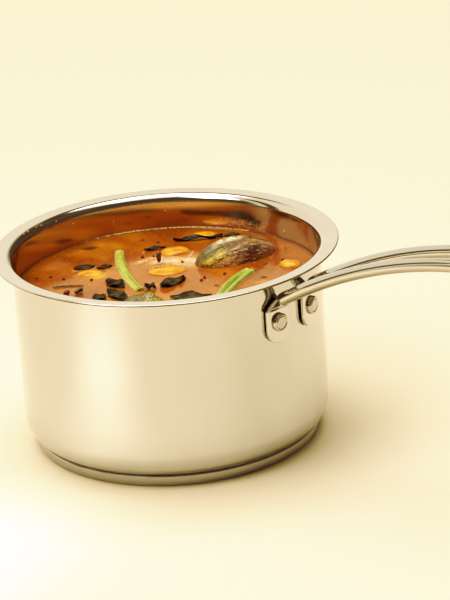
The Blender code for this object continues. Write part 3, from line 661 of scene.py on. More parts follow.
# %% The path of one leg, from the tab's tip to the middle of the loop
def tab_run():
    """The flat tab: its round tip has width sqrt(1 - (1 - s)^2), then it runs straight up."""
    thin = 0.12         # share of the round tip on which it grows to its full thickness
    s = 1.0 - np.cos(np.linspace(0.12, np.pi / 2.0, 22))
    level = np.append(TAB_BOTTOM + s * TAB_WIDTH / 2.0, [TAB_BOTTOM + 11.0 * MM, tab_top])
    width = np.append(np.sqrt(1.0 - (1.0 - s) ** 2), [1.0, 1.0])
    round_off = np.sqrt(np.clip(1.0 - (1.0 - np.minimum(s / thin, 1.0)) ** 2, 0.25, 1.0))
    centres = np.column_stack([np.tile(tab_foot[:2], (len(level), 1)), level])
    return stretch(centres, (0.0, 0.0, 1.0), tab_across, TAB_WIDTH * width,
                   TAB_THICKNESS * np.append(round_off, [1.0, 1.0]), TAB_SQUARE)


def elbow_run():
    """A quarter turn from straight up to the leg's slope, on which the flat turns into the round rod."""
    t = np.linspace(0.0, 1.0, 30)[1:]
    angle = np.pi / 2.0 - (np.pi / 2.0 - leg_pitch) * t
    plan = tab_foot + np.outer(1.0 - np.sin(angle), [ELBOW_RADIUS, 0.0, 0.0])
    centres = plan + (np.array([LEG_X, leg_spread(LEG_X), 0.0]) - plan) * t[:, None] ** 2
    centres[:, 2] = tab_top + ELBOW_RADIUS * np.cos(angle)
    along = np.column_stack([np.cos(angle), np.zeros_like(angle), np.sin(angle)])
    across = tab_across + (np.array([0.0, 1.0, 0.0]) - tab_across) * t[:, None]
    rod = 2.0 * ROD_RADIUS
    return stretch(centres, along, across, TAB_WIDTH + (rod - TAB_WIDTH) * ease(t * 1.15, 0.0, 1.0),
                   TAB_THICKNESS + (rod - TAB_THICKNESS) * ease(t * 1.1, 0.0, 1.0),
                   TAB_SQUARE + (2.0 - TAB_SQUARE) * ease(t, 0.0, 0.9))


def leg_run():
    """The straight-sided leg: x steps evenly, y closes up and z follows the parabola."""
    x = np.linspace(LEG_X, loop_x, 60)[1:]
    along = unit(np.column_stack([np.ones_like(x), np.full_like(x, -LEG_TAPER), rod_slope(x)]))
    return stretch(np.column_stack([x, leg_spread(x), rod_height(x)]), along, (0.0, 1.0, 0.0))


def loop_run():
    """Half of the round end: (x + r sin a, r cos a), still on the parabola's height."""
    angle = np.linspace(0.0, np.pi / 2.0, 25)[1:]
    radius = leg_spread(loop_x)
    x = loop_x + radius * np.sin(angle)
    along = unit(np.column_stack([np.cos(angle), -np.sin(angle), rod_slope(x) * np.cos(angle)]))
    across = np.column_stack([np.sin(angle), np.cos(angle), np.zeros_like(angle)])
    return stretch(np.column_stack([x, radius * np.cos(angle), rod_height(x)]), along, across)


# %% Build the handle
runs = [tab_run(), elbow_run(), leg_run(), loop_run()]
centres, along, across, width, thickness, square = [np.concatenate(parts) for parts in zip(*runs)]
across = unit(across - along * np.sum(across * along, axis=1, keepdims=True))
a, b = superellipse(full_turn(ROD_SIDES), square[:, None])
a, b = a * width[:, None] / 2.0, b * thickness[:, None] / 2.0
half = carried(centres, across, np.cross(along, across), a, b)
rod = np.concatenate([half, half[-2::-1] * np.array([1.0, -1.0, 1.0])])
surface = skin(rod)
row = np.array([face[0] // ROD_SIDES for face in surface[1]])
tab_rows = len(runs[0][0])
on_tab = (row < tab_rows) | (row >= len(rod) - 1 - tab_rows)
# the tab faces take the lighter steel, a painted highlight
make_piece("rod_handle", surface, (rod_steel, tab_lit_steel), ("handle",), sharp=50.0,
           finish_of_face=on_tab)
print("faces on the tabs:", int(on_tab.sum()))

# %% [markdown]
# ## Rivets
#
# A rivet goes through each tab and the wall. Its outer head is a low button with a rounded edge and a
# ring pressed into its face, and its inner head is a flat dome that lies just under the stew's edge. The
# whole rivet is one turned outline, laid on its side.

# %% Rivets
RIVET_HEIGHT = 80.6 * MM
RIVET_HEAD = 4.7 * MM
RIVET_RISE = 2.0 * MM
RIVET_DISH = 0.4 * MM
RIVET_SHANK = 2.5 * MM
INNER_HEAD = 4.5 * MM
INNER_DOME = 1.2 * MM


def rivet_outline():
    """(radius, distance from the wall's outside): face, rounded edge, shank and inner dome.

    The face is a dome of RIVET_DISH, less a groove RIVET_DISH * exp(-((share - 0.72) / 0.05)^2).
    """
    face = GAP + TAB_THICKNESS + GAP / 2.0
    back = -(WALL + GAP)
    share = np.linspace(0.06, 0.84, 30)
    groove = np.exp(-((share - 0.72) / 0.05) ** 2)
    top = face + RIVET_RISE - RIVET_DISH * (0.9 * share ** 2 + groove)
    dish = np.column_stack([share * RIVET_HEAD, top])
    edge = arc((0.0, 0.0), 1.0, 70.0, 0.0, 12) * [0.20, 0.65] + [0.80, 0.35]        # in shares of the head
    edge = edge * [RIVET_HEAD, top[-1] - face] + [0.0, face]
    shank = [[RIVET_HEAD, face], [RIVET_SHANK, face], [RIVET_SHANK, back]]
    dome = arc((0.0, 0.0), 1.0, 0.0, -90.0, 10)[:-1] * [INNER_HEAD, INNER_DOME] + [0.0, back]
    return np.vstack([dish, edge, shank, dome])


outline = rivet_outline()
tips = ((0.0, 0.0, outline[0][1] - 0.004 * MM), (0.0, 0.0, outline[-1][1] - 0.01 * MM))
rivet_points, rivet_faces = skin(turned(outline, 64), tips)
for side, place_name in ((1.0, "left"), (-1.0, "right")):
    out = tab_out * np.array([1.0, side, 1.0])
    along = np.array([-out[1], out[0], 0.0])
    turned_out = rivet_points @ np.array([along, np.cross(out, along), out])
    placed = turned_out + out * BODY_RADIUS + np.array([0.0, 0.0, RIVET_HEIGHT])
    make_piece(f"{place_name}_rivet", (placed, rivet_faces), (rod_steel,), (f"rivet_{place_name}",),
               sharp=40.0)

# %% [markdown]
# ## What floats where
#
# Every floating piece has a place and a heading on the level stew. They could stand beside each piece's own
# shape; they are kept together because the broth needs them too, as it climbs a little against whatever
# breaks its surface.

# %% Places of the floating pieces, in millimetres and degrees
STEW_LEVEL = 84.5 * MM
Floater = namedtuple("Floater", "x y heading length width height")
Pod = namedtuple("Pod", "start end bow width height slot")
Leaf = namedtuple("Leaf", "x y heading length width wave curl crumple", defaults=(1.0,))
Twig = namedtuple("Twig", "start end thick thin bow")
EGGPLANTS = {
    "eggplant_half_back": Floater(12.0, 43.0, 65.0, 47.0, 25.0, 10.5),
    "eggplant_half_front": Floater(20.0, -45.0, -56.0, 35.0, 25.0, 8.5),
}
SHALLOTS = {
    "shallot_middle": Floater(-22.0, 34.0, 40.0, 16.0, 12.5, 2.6),
    "shallot_front": Floater(-8.0, 9.0, 40.0, 19.5, 13.0, 1.6),
    "shallot_right": Floater(44.5, 46.5, 30.0, 12.0, 10.5, 3.0),
    "shallot_back": Floater(-25.8, 64.0, 35.0, 12.5, 8.0, 0.9),
    "shallot_left": Floater(-41.5, -13.5, 35.0, 14.0, 9.0, 1.6),
    "shallot_near": Floater(46.0, -42.0, 70.0, 15.0, 12.0, 2.4),
}
PODS = {
    "pod_long": Pod((-49.2, 20.1), (-2.0, -20.5), -3.0, 6.2, 5.0, 0.0),
    "pod_split": Pod((30.5, 30.3), (40.5, -7.0), -1.5, 8.6, 5.6, 0.55),
}
LEAVES = {
    "leaf_back_long": Leaf(-23.0, 55.0, 42.0, 27.0, 4.0, 1.4, 1.5),
    "leaf_back_tip": Leaf(-10.5, 68.5, 59.0, 8.5, 5.0, 0.6, 0.8),
    "leaf_middle": Leaf(-34.5, 32.0, 56.0, 12.0, 4.5, 0.8, 0.8),
    "leaf_left_dark": Leaf(-50.0, -8.0, 51.0, 12.0, 7.5, 0.2, 0.3, 0.2),
    "leaf_left_grey": Leaf(-40.5, -3.0, 64.0, 9.0, 4.5, 0.6, 0.6),
    "leaf_grey": Leaf(-18.5, -20.5, -12.0, 14.0, 8.5, 1.2, 1.4),
    "leaf_black_long": Leaf(-6.5, -33.0, -23.0, 20.0, 8.0, 1.0, 1.2),
    "leaf_star": Leaf(-12.5, -40.5, 98.0, 10.0, 7.0, 1.2, 1.6),
    "leaf_curled": Leaf(6.5, -4.0, 85.0, 18.0, 8.5, 1.1, 1.5),
    "leaf_tuft": Leaf(1.0, -16.0, 15.0, 6.5, 6.0, 1.3, 1.8),
    "leaf_front_big": Leaf(28.5, -17.0, 34.0, 21.5, 10.5, 1.2, 1.2),
    "leaf_near": Leaf(55.0, -24.0, 62.0, 22.0, 9.0, 1.1, 1.1),
    "leaf_near_left": Leaf(-14.0, -58.0, 25.0, 20.0, 8.5, 1.0, 1.2),
}
TWIGS = {
    "stem": Twig((-45.5, -39.5, 0.0), (-32.5, -29.5, 0.0), 0.45, 0.32, 1.0),
    "chilli_tip": Twig((-18.0, 15.5, 0.0), (-18.5, 16.5, 4.5), 0.9, 1.6, 0.4),
    "chilli_red": Twig((-29.5, -47.0, 0.0), (-31.0, -43.0, 1.0), 1.7, 1.0, 0.3),
    "chilli_tail": Twig((-28.5, -41.0, 0.0), (-27.5, -36.0, 0.3), 0.9, 1.3, 0.4),
}
ovals = [*EGGPLANTS.values(), *SHALLOTS.values(), *LEAVES.values()]
print(len(ovals) + len(PODS) + len(TWIGS), "floating pieces")


# %% Helpers for places
def spin(heading):
    """Rows that turn row vectors about Z by a heading in degrees."""
    cos, sin = math.cos(math.radians(heading)), math.sin(math.radians(heading))
    return np.array([[cos, sin, 0.0], [-sin, cos, 0.0], [0.0, 0.0, 1.0]])


def set_down(surface, spec):
    """Turn a piece's points to its heading and move them from the origin to its place on the stew."""
    return surface[0] @ spin(spec.heading) + np.array([spec.x * MM, spec.y * MM, STEW_LEVEL]), surface[1]


def bowed(start, end, bow, t):
    """Points from start to end that bow sideways: start + span * t + side * bow * 4 t (1 - t)."""
    span = np.subtract(end, start)
    side = np.array([-span[1], span[0], 0.0]) / np.hypot(span[0], span[1])
    return np.array(start) + span * t[:, None] + side * (bow * 4.0 * t * (1.0 - t))[:, None]


def pod_path(spec, t):
    """A pod's centre line, in metres from the pan's axis and the stew's level."""
    sink = -0.12 * spec.height
    return bowed((*spec.start, sink), (*spec.end, sink), spec.bow, t) * MM


# %% [markdown]
# ## The stew
#
# Cooked lentils make a thick, glossy, orange-brown broth. A flat disc with bump would look like a lid. Its
# surface is a height field on a polar grid, so that its rings follow the round wall. The level is never
# quite flat: it climbs the wall and every piece that floats, and slow waves cross it. Its patches of colour
# are painted point by point.

# %% Sizes of the stew
WALL_CLIMB = 0.9 * MM
WALL_REACH = 1.1 * MM
PIECE_CLIMB = 0.40 * MM
PIECE_REACH = 1.0 * MM
STEW_RINGS, STEW_SPOKES = 150, 440


def oval_gap(plan, spec):
    """Distance to a piece's outline, to first order: f (f - 1) / |gradient|, with f the scaled radius."""
    local = (plan - np.array([spec.x, spec.y, 0.0]) * MM) @ spin(spec.heading).T
    half = np.array([spec.length, spec.width]) * MM / 2.0
    scaled = local[..., :2] / half
    f = np.linalg.norm(scaled, axis=-1) + 1e-9
    return f * (f - 1.0) / (np.linalg.norm(scaled / half, axis=-1) + 1e-9)


def path_gap(plan, path, half_width):
    """Distance to the nearest point of a path, less half the piece's width."""
    return np.linalg.norm(plan[..., None, :2] - path[:, :2], axis=-1).min(axis=-1) - half_width


def stew_height(plan):
    """Height over points (x, y, 0): level + wall climb + climbs at the pieces + slow waves."""
    height = WALL_CLIMB * np.exp(-(inner_radius - np.hypot(plan[..., 0], plan[..., 1])) / WALL_REACH)
    gaps = [oval_gap(plan, spec) for spec in ovals]
    gaps += [path_gap(plan, pod_path(spec, np.linspace(0.0, 1.0, 30)), spec.width * MM / 2.0)
             for spec in PODS.values()]
    height = height + PIECE_CLIMB * np.exp(-np.abs(np.min(gaps, axis=0)) / PIECE_REACH)
    waves = 0.06 * MM * ripple(plan, 22.0 * MM, 3) + 0.02 * MM * ripple(plan, 7.0 * MM, 4)
    return STEW_LEVEL + height + waves


# %% Stew material
BROTH = (0.50, 0.145, 0.0022)
BROTH_YELLOW = (0.80, 0.36, 0.012)
BROTH_PALE = (0.72, 0.36, 0.10)
BROTH_PAINTED_SHADE = (0.36, 0.078, 0.001)
FROTH_STAIN = (0.86, 0.55, 0.28)
SUNKEN_LEAF = (0.10, 0.045, 0.004)
STEW_PATCHES = (            # x, half length, y, half width, colour, strength
    (-60.0, 11.0, 18.0, 12.0, BROTH_YELLOW, 0.9),
    (-68.5, 2.6, 16.0, 2.6, SUNKEN_LEAF, 0.8),
    (-25.0, 9.0, 60.0, 9.0, BROTH_YELLOW, 0.9),
    (-39.0, 5.0, -14.0, 4.0, BROTH_YELLOW, 0.9),
    (46.5, 4.0, 19.5, 3.0, BROTH_YELLOW, 0.9),
    (-66.0, 5.0, -12.0, 8.0, BROTH_PALE, 0.4),
    (-16.0, 11.0, 23.0, 7.0, BROTH_PALE, 0.6),
    (-11.0, 12.0, 24.0, 4.5, FROTH_STAIN, 0.75),
    # painted shade: the broth darkened at the right back, where its surface mirrors the lining
    (36.0, 22.0, 64.0, 15.0, BROTH_PAINTED_SHADE, 0.8),
)
# painted shade along the line where the broth meets the wall
STEW_EDGE_SHADE = 0.50            # how much darker the broth is where it meets the wall

stew = Finish("lentil_broth", (0.36, 0.08, 0.002), 0.13, IOR=1.48, Subsurface_Weight=0.12,
              Subsurface_Radius=(1.0, 0.35, 0.1), Subsurface_Scale=0.004)
depth = stew.ramp(stew.noise(26.0 * MM, 4.0, 0.55), (0.32, (0.52, 0.38, 0.35)), (0.5, (0.70, 0.58, 0.5)),
                  (0.68, (0.92, 0.95, 0.9)))
broth = stew.mix(1.0, stew.mark("tint", "Color"), depth, "MULTIPLY")
for size, detail, roughness, low, high, colour in (         # lentil grains, then dark specks
        (1.6, 3.0, 0.6, 0.62, 0.74, (0.70, 0.32, 0.03)), (1.1, 2.0, 0.5, 0.70, 0.76, (0.10, 0.015, 0.001))):
    broth = stew.mix(stew.between(stew.noise(size * MM, detail, roughness), low, high), broth, colour)
stew.colour(broth)
stew.relief(stew.noise(4.0 * MM), 0.03 * MM)

# %% Build the stew
rings = inner_radius * (1.0 - (1.0 - np.linspace(0.004, 1.0, STEW_RINGS)) ** 1.4)
top = around_axis(rings[:, None], full_turn(STEW_SPOKES), 0.0)
top[..., 2] = stew_height(top)
inside_corner = arc(corner_centre, CORNER_RADIUS - WALL, 0.0, -90.0, 8)
under = turned(np.vstack([inside_corner, [[CENTRE_RING, floor_z]]]), STEW_SPOKES)
surface = skin(np.concatenate([top, under]))
x, y = surface[0][:, 0], surface[0][:, 1]
tint = painted(x / MM, y / MM, BROTH, STEW_PATCHES, 5, (2.5, 2.5))
tint *= 1.0 - STEW_EDGE_SHADE * ease(np.hypot(x, y), inner_radius - 1.6 * MM, inner_radius - 0.5 * MM)[:, None]
make_piece("broth", surface, (stew.material,), ("stew",), {"tint": tint}, sharp=80.0)

# %% [markdown]
# ## Seeds, flakes and froth
#
# Mustard seeds and flakes of chilli ride on the broth, and froth gathers where it was stirred last: in a
# crest between two onions and in a pale line where the broth meets the wall. A few drops and a smear of
# froth cling to the steel above it. Particles would do for seeds, but they are lost when the model is handed
# over. Particles could make the seeds; here one small shape is repeated as one array of copies x points x 3,
# which makes a single mesh. The seeds' places follow the measured model's own rule: random places on the
# disc that keep clear of every piece.

# %% Helpers for small bits
def ball(rows, sides):
    """(points, faces) of a unit ball: a turned half circle, with a point at each pole."""
    half_circle = arc((0.0, 0.0), 1.0, -90.0, 90.0, rows)[1:-1]
    return skin(turned(half_circle, sides), ((0.0, 0.0, -1.0), (0.0, 0.0, 1.0)))


def copies(shape, places, sizes, turns):
    """One (points, faces) for many copies: each is stretched by its size, turned about Z and moved."""
    points, faces = shape
    x, y, z = (points[None] * np.broadcast_to(sizes, (len(places), 3))[:, None]).transpose(2, 0, 1)
    cos, sin = np.cos(turns)[:, None], np.sin(turns)[:, None]
    grid = np.stack([x * cos - y * sin, x * sin + y * cos, z], axis=-1) + places[:, None]
    starts = range(0, len(places) * len(points), len(points))
    return grid.reshape(-1, 3), [[i + start for i in face] for start in starts for face in faces]


# %% Where the seeds and flakes lie
SEED_COUNT, FLAKE_COUNT = 22, 12
SEED_SIZE = np.full(3, 0.9) * MM
FLAKE_SIZE = np.array([1.68, 0.96, 0.42]) * MM
BIT_FLOAT = 0.25                # how far a bit's middle lies above the stew, as a share of its height
SCATTER_RADIUS = 72.0 * MM
SCATTER_SEED = 7


def footprints():
    """Circles (x, y, radius) that cover every floating piece, in millimetres."""
    circles = []
    for spec in ovals:
        along = spin(spec.heading)[0]
        for reach in (-0.35 * spec.length, 0.0, 0.35 * spec.length):
            circles.append((spec.x + reach * along[0], spec.y + reach * along[1],
                            max(spec.width / 2.0, spec.length * 0.2)))
    lines = [(spec, abs(spec.bow) + spec.width / 2.0, 9) for spec in PODS.values()]
    lines += [(spec, 4.0, 3) for spec in TWIGS.values()]
    for spec, radius, count in lines:
        circles += [(*place, radius) for place in np.linspace(spec.start[:2], spec.end[:2], count)]
    return circles


def scatter(draw, count, taken, margin):
    """Rows of (x, y, turn): random places on the disc, clear of the circles by a margin."""
    places = []
    while len(places) < count:
        radius = SCATTER_RADIUS * math.sqrt(draw.random())
        angle = draw.uniform(0.0, 2.0 * math.pi)
        x, y = radius * math.cos(angle), radius * math.sin(angle)
        if all(math.hypot(x - cx, y - cy) > r + margin for cx, cy, r in taken):
            places.append((x, y, draw.uniform(0.0, math.pi)))
            taken.append((x, y, 1.5 * MM))
    return np.array(places)


# %% Build the seeds and flakes
draw = random.Random(SCATTER_SEED)
taken = [tuple(c * MM for c in circle) for circle in footprints()]
for name, count, margin, size, colour, slot in (
        ("mustard_seeds", SEED_COUNT, 1.5 * MM, SEED_SIZE, (0.16, 0.045, 0.010), "stew"),
        ("chilli_flakes", FLAKE_COUNT, 2.0 * MM, FLAKE_SIZE, (0.24, 0.045, 0.003), "chilli")):
    rows = scatter(draw, count, taken, margin)
    places = np.column_stack([rows[:, :2], np.full(count, STEW_LEVEL + size[2] * BIT_FLOAT)])
    paint = patchy(name, colour, 0.3, (3.0 * MM,), (0.35, [c * 0.75 for c in colour]), (0.65, colour),
                   Specular_IOR_Level=0.3)
    make_piece(name, copies(ball(7, 12), places, size, rows[:, 2]), (paint,), ("stew",))

# %% Where the froth lies
FROTH_LINES = (     # points on the stew in millimetres, half the line's width, bubbles for each millimetre
    (((-29.5, 10.0), (-28.0, 17.0), (-26.0, 24.0), (-19.5, 24.0)), 2.2, 14.0),
    (((-22.0, 15.5), (-19.0, 19.0), (-13.0, 23.5), (-8.0, 28.0), (-2.0, 28.8)), 3.4, 60.0),
    (((-17.8, 6.0), (-17.2, 11.5), (-12.6, 15.6), (-6.7, 17.8), (-0.8, 16.8)), 0.35, 4.0),
    (((-15.0, 39.8), (-11.5, 34.5), (-11.5, 30.5)), 0.5, 4.0),
)
FROTH_AT_WALL = ((94.0, 150.0, 5.0), (152.0, 154.0, 4.0), (157.0, 158.5, 4.0), (162.0, 163.0, 3.0))
SMEAR_AZIMUTH = (99.0, 5.0)             # middle and spread on the wall, in degrees
SMEAR_LEVEL = (88.65, 1.175)            # the same in millimetres
SMEAR_BUBBLES = 520


def along_line(points, t):
    """(points at shares t of a broken line's length, its length), by interpolation."""
    points = np.array(points)
    reach = np.append(0.0, np.cumsum(np.linalg.norm(np.diff(points, axis=0), axis=1)))
    return np.column_stack([np.interp(t * reach[-1], reach, column) for column in points.T]), reach[-1]


rng = np.random.default_rng(11)
spots = []
for points, half_width, density in FROTH_LINES:
    t = rng.random(int(along_line(points, 1.0)[1] * density))
    spots.append(along_line(points, t)[0] + rng.normal(0.0, half_width / 2.0, (len(t), 2)))
for start, end, density in FROTH_AT_WALL:
    angle = np.radians(rng.uniform(start, end, int(math.radians(end - start) * inner_radius / MM * density)))
    radius = inner_radius / MM - rng.uniform(0.25, 0.75, len(angle))
    spots.append(around_axis(radius, angle, 0.0)[:, :2])
spots = np.pad(np.vstack(spots) * MM, ((0, 0), (0, 1)))
print(len(spots), "bubbles on the stew and", SMEAR_BUBBLES, "on the wall")

# %% Build the froth
bubble = rng.uniform(0.16, 0.36, len(spots)) * MM
spots[:, 2] = stew_height(spots) + 0.1 * bubble
azimuth = np.radians(rng.normal(*SMEAR_AZIMUTH, SMEAR_BUBBLES))
level = rng.normal(*SMEAR_LEVEL, SMEAR_BUBBLES) * MM
places = np.vstack([spots, around_axis(inner_radius, azimuth, level)])
bubble = np.append(bubble, rng.uniform(0.08, 0.20, SMEAR_BUBBLES) * MM)
surface = copies(ball(5, 7), places, bubble[:, None] * [1.0, 1.0, 0.75], rng.uniform(0.0, 6.28, len(places)))
froth_paint = patchy("froth", (0.85, 0.62, 0.40), 0.3, (3.0 * MM,), (0.35, (0.80, 0.48, 0.22)),
                     (0.6, (0.90, 0.70, 0.50)))
make_piece("froth", surface, (froth_paint,), ("stew",))

# %% Drops on the steel
DROPS = (           # azimuth, height and radius of each, in degrees and millimetres
    (-176.0, 102.6, 0.6), (-173.0, 102.9, 0.45), (-167.5, 103.1, 0.7), (-164.5, 103.2, 0.5),
    (176.0, 101.5, 0.4), (168.0, 97.0, 0.5), (150.0, 92.5, 0.6), (129.0, 95.0, 0.4), (86.0, 96.5, 0.5),
    (76.0, 89.3, 0.9))


def lining_radius(level):
    """The wall's inner radius; from the bend's centre to its top bend_x - sqrt(r^2 - (z - bend_z)^2)."""
    return bend_x - np.sqrt(inner_bend ** 2 - np.clip(level - bend_z, 0.0, inner_bend) ** 2)


azimuth, level, size = (np.array(DROPS) * [math.pi / 180.0, MM, MM]).T
surface = copies(ball(7, 10), around_axis(lining_radius(level), azimuth, level),
                 size[:, None] * [0.6, 1.0, 1.1], azimuth)
drop_paint = patchy("broth_drop", (0.72, 0.40, 0.05), 0.15, (2.0 * MM,), (0.35, (0.50, 0.22, 0.015)),
                    (0.65, (0.80, 0.50, 0.10)))
make_piece("broth_drops", surface, (drop_paint,), ("stew",))

# %% [markdown]
# ## Eggplant halves
#
# Small eggplants are halved and simmered until the skin wrinkles and goes from purple to brown. Each half
# floats skin up. A sculpted sphere could be pulled into shape; an ellipsoid whose poles lie at its ends,
# narrowed towards the stem, with five soft ribs and fine lengthwise wrinkles, says the same in a formula.
# Two numbers for every point, how far along and how far round it lies, place the skin's colours.

# %% Form of an eggplant half
EGGPLANT_TAPER = 0.24
EGGPLANT_LOBE = 0.05
EGGPLANT_KEEL = 0.55
WRINKLE_STRETCH = np.array([0.30, 1.0, 1.0])


def long_grid(rows, sides, cut):
    """(along, around, belly) of a grid with poles at -1 and 1 along it; belly is sqrt(1 - along^2)."""
    along = -np.cos(np.linspace(cut, np.pi - cut, rows))[:, None] + np.zeros(sides)
    return along, full_turn(sides) + np.zeros((rows, 1)), np.sqrt(1.0 - along ** 2)


def long_body(along, y, z, length):
    """(points, faces) of a closed body on such a grid, with a pole at each end of its length."""
    poles = np.array([[-0.5, 0.0, 0.0], [0.5, 0.0, 0.0]]) * length
    return skin(np.stack([along * length / 2.0, y, z], axis=-1), poles)


def eggplant(spec, ridges, seed, rows=150, sides=240):
    """(surface, along, around) of a half: an ellipsoid with poles at its ends.

    Its radius is narrowed by 1 - taper * (max(along, 0)^2 + along / 4), ribbed by 1 + lobe * cos 5a,
    raised by a bell curve at each ridge, and wrinkled by noise that is drawn out lengthwise.
    """
    along, around, belly = long_grid(rows, sides, 0.03)
    above = spec.height * MM
    y = spec.width * MM / 2.0 * np.cos(around) * belly
    z = np.where(np.sin(around) > 0.0, above, above * EGGPLANT_KEEL) * np.sin(around) * belly
    swell = 1.0 - EGGPLANT_TAPER * (np.maximum(along, 0.0) ** 2 + along / 4.0)
    swell *= 1.0 + EGGPLANT_LOBE * np.cos(5.0 * np.arctan2(z, y))
    for centre, spread, height in ridges:
        apart = np.degrees(around) - centre - 10.0 * along
        swell += height * np.exp(-(apart / spread) ** 2) * ease(belly, 0.1, 0.6)
    sheet = np.stack([along * 2.0, np.cos(around) * 4.0, np.sin(around) * 4.0], axis=-1)
    swell += 0.012 * ripple(sheet * 0.35, 0.9, seed + 1)
    for draw, pitch, depth in ((2, 0.30, 0.014), (3, 0.60, 0.016)):
        swell += depth * ripple(sheet * WRINKLE_STRETCH, pitch, seed + draw, 40) * ease(belly, 0.1, 0.5)
    surface = long_body(along, y * swell, z * swell, spec.length * MM)
    return surface, np.append(along, [-1.0, 1.0]), np.append(np.degrees(around), [90.0, 90.0])


# %% Eggplant skin
YELLOW_FLESH = (0.84, 0.60, 0.08)
OLIVE = (0.26, 0.18, 0.012)
DARK_OLIVE = (0.085, 0.06, 0.007)
GREY_GREEN = (0.24, 0.20, 0.065)
CREAM = (0.80, 0.68, 0.38)
PALE_PINK = (0.86, 0.54, 0.32)
PURPLE_BROWN = (0.24, 0.090, 0.055)
DEEP_BROWN = (0.070, 0.020, 0.006)
GOLD = (0.50, 0.32, 0.09)
SKINS = {           # ground, then patches: along, half length, degrees round, half width, colour, strength
    "eggplant_half_back": (PURPLE_BROWN, (
        (-0.78, 0.42, 150.0, 62.0, OLIVE, 1.0),
        (-0.72, 0.22, 150.0, 19.0, YELLOW_FLESH, 1.0),
        (-0.50, 0.10, 128.0, 10.0, YELLOW_FLESH, 0.5),
        (-0.38, 0.26, 161.0, 19.0, PALE_PINK, 1.0),
        (-0.85, 0.30, 105.0, 24.0, DARK_OLIVE, 0.8),
        (-0.35, 0.42, 111.0, 8.0, DARK_OLIVE, 0.95),
        (-0.80, 0.26, 118.0, 4.0, GREY_GREEN, 0.9),
        (-0.62, 0.30, 96.0, 7.0, GREY_GREEN, 1.0),
        # painted highlight: the cream band along the top ridge
        (-0.15, 0.36, 86.0, 10.0, CREAM, 1.0),
        (0.42, 0.22, 103.0, 12.0, GOLD, 0.9),
        (0.26, 0.16, 143.0, 14.0, DEEP_BROWN, 0.9),
        (0.02, 0.20, 171.0, 8.0, DEEP_BROWN, 0.8),
        (0.55, 0.12, 150.0, 9.0, PALE_PINK, 0.6),
        (0.48, 0.26, 174.0, 9.0, OLIVE, 0.95),
        (0.88, 0.16, 135.0, 70.0, (0.50, 0.24, 0.15), 0.9))),
    "eggplant_half_front": (DARK_OLIVE, (
        (0.3, 0.9, 56.0, 18.0, (0.52, 0.45, 0.09), 1.0),
        (0.3, 0.9, 68.0, 3.0, CREAM, 0.8),
        (0.3, 0.9, 77.0, 3.0, CREAM, 0.9),
        (0.3, 0.9, 86.0, 2.5, GREY_GREEN, 0.9),
        (0.3, 0.9, 97.0, 4.0, OLIVE, 0.8),
        (0.3, 0.9, 118.0, 6.0, GREY_GREEN, 0.6))),
}
peel = Finish("eggplant_skin", (0.25, 0.11, 0.03), 0.30, Coat_Weight=0.25, Coat_Roughness=0.15,
              Subsurface_Weight=0.05, Subsurface_Scale=0.002)
fine, blotch = peel.noise(1.1 * MM, 4.0, 0.65), peel.noise(2.6 * MM, 4.0, 0.65)
mottled = peel.mark("tint", "Color")
for pattern, low, high, shade in (
        (blotch, 0.50, 0.38, (0.40, 0.30, 0.22)), (fine, 0.48, 0.36, (0.45, 0.40, 0.35))):
    mottled = peel.mix(peel.between(pattern, low, high), mottled, shade, "MULTIPLY")
pale = peel.maths("MULTIPLY", peel.between(fine, 0.44, 0.58), peel.mark("speckle"))
peel.colour(peel.mix(pale, mottled, (0.74, 0.50, 0.32)))
peel.relief(fine, 0.3 * MM)

# %% Build the eggplants
STREAK_WIDTH = 1.6          # millimetres across a streak
STREAK_STRETCH = 5.0        # a streak's length over its width
STREAK_DEPTH = 0.5
RIDGES = {                  # degrees round, spread, height as a share of the radius
    "eggplant_half_back": ((84.0, 6.0, 0.07), (98.0, 4.0, 0.03), (128.0, 9.0, 0.03)),
    "eggplant_half_front": ((68.0, 3.0, 0.03), (78.0, 3.0, 0.04), (88.0, 3.0, 0.02)),
}
for number, (name, spec) in enumerate(EGGPLANTS.items()):
    surface, t, turn = eggplant(spec, RIDGES[name], 20 + 7 * number)
    sheet = np.column_stack([t * spec.length / STREAK_STRETCH, np.radians(turn) * spec.width, 0.0 * t]) / 2.0
    dark, light = (ripple(sheet, STREAK_WIDTH, seed + number, 40) for seed in (170, 175))
    tint = painted(t, turn, *SKINS[name], 90 + number)
    tint *= 1.0 - STREAK_DEPTH * ease(dark, 0.05, 0.45)[:, None]
    brown = np.exp(-(((t - 0.20) / 0.62) ** 4 + ((turn - 143.0) / 36.0) ** 4))
    speckle = (brown * (name == "eggplant_half_back") * 0.9 + 0.1) * ease(light, -0.05, 0.30)
    make_piece(name.replace("half", "skin"), set_down(surface, spec), (peel.material,), (name,),
               {"tint": tint, "speckle": speckle})

# %% [markdown]
# ## Small onions
#
# Whole small onions float with only their tops out. A squashed sphere would be too even, so an onion is a
# grid ellipsoid as well, a little uneven, with a fine groove where one layer ends on the next.

# %% Form of an onion
SHALLOT_KEEL = 0.4
SHALLOT_BUMP = 0.07


def shallot(spec, seed, rows=60, sides=80):
    """(surface, groove) of an onion: an uneven ellipsoid with grooves exp(-(d / 0.1)^2) along its layers."""
    along, around, belly = long_grid(rows, sides, 0.05)
    bump_y = 1.0 + SHALLOT_BUMP * np.sin(3.0 * along + spec.length)
    bump_z = 1.0 + SHALLOT_BUMP * np.sin(4.0 * along + spec.width)
    reach = np.where(np.sin(around) > 0.0, spec.height, spec.width * SHALLOT_KEEL) * MM
    y = spec.width * MM / 2.0 * np.cos(around) * belly * bump_y
    z = reach * np.sin(around) * belly * bump_z
    layers = np.degrees(around) / 30.0 + 0.5 * np.sin(3.0 * along + seed)
    groove = np.exp(-((layers - np.round(layers)) / 0.10) ** 2) * ease(belly, 0.1, 0.5)
    sheet = np.stack([along * spec.length * MM, y, z], axis=-1)
    swell = 1.0 - 0.012 * groove + 0.03 * ripple(sheet, 9.0 * MM, seed)
    return long_body(along, y * swell, z * swell, spec.length * MM), np.append(groove, [0.0, 0.0])


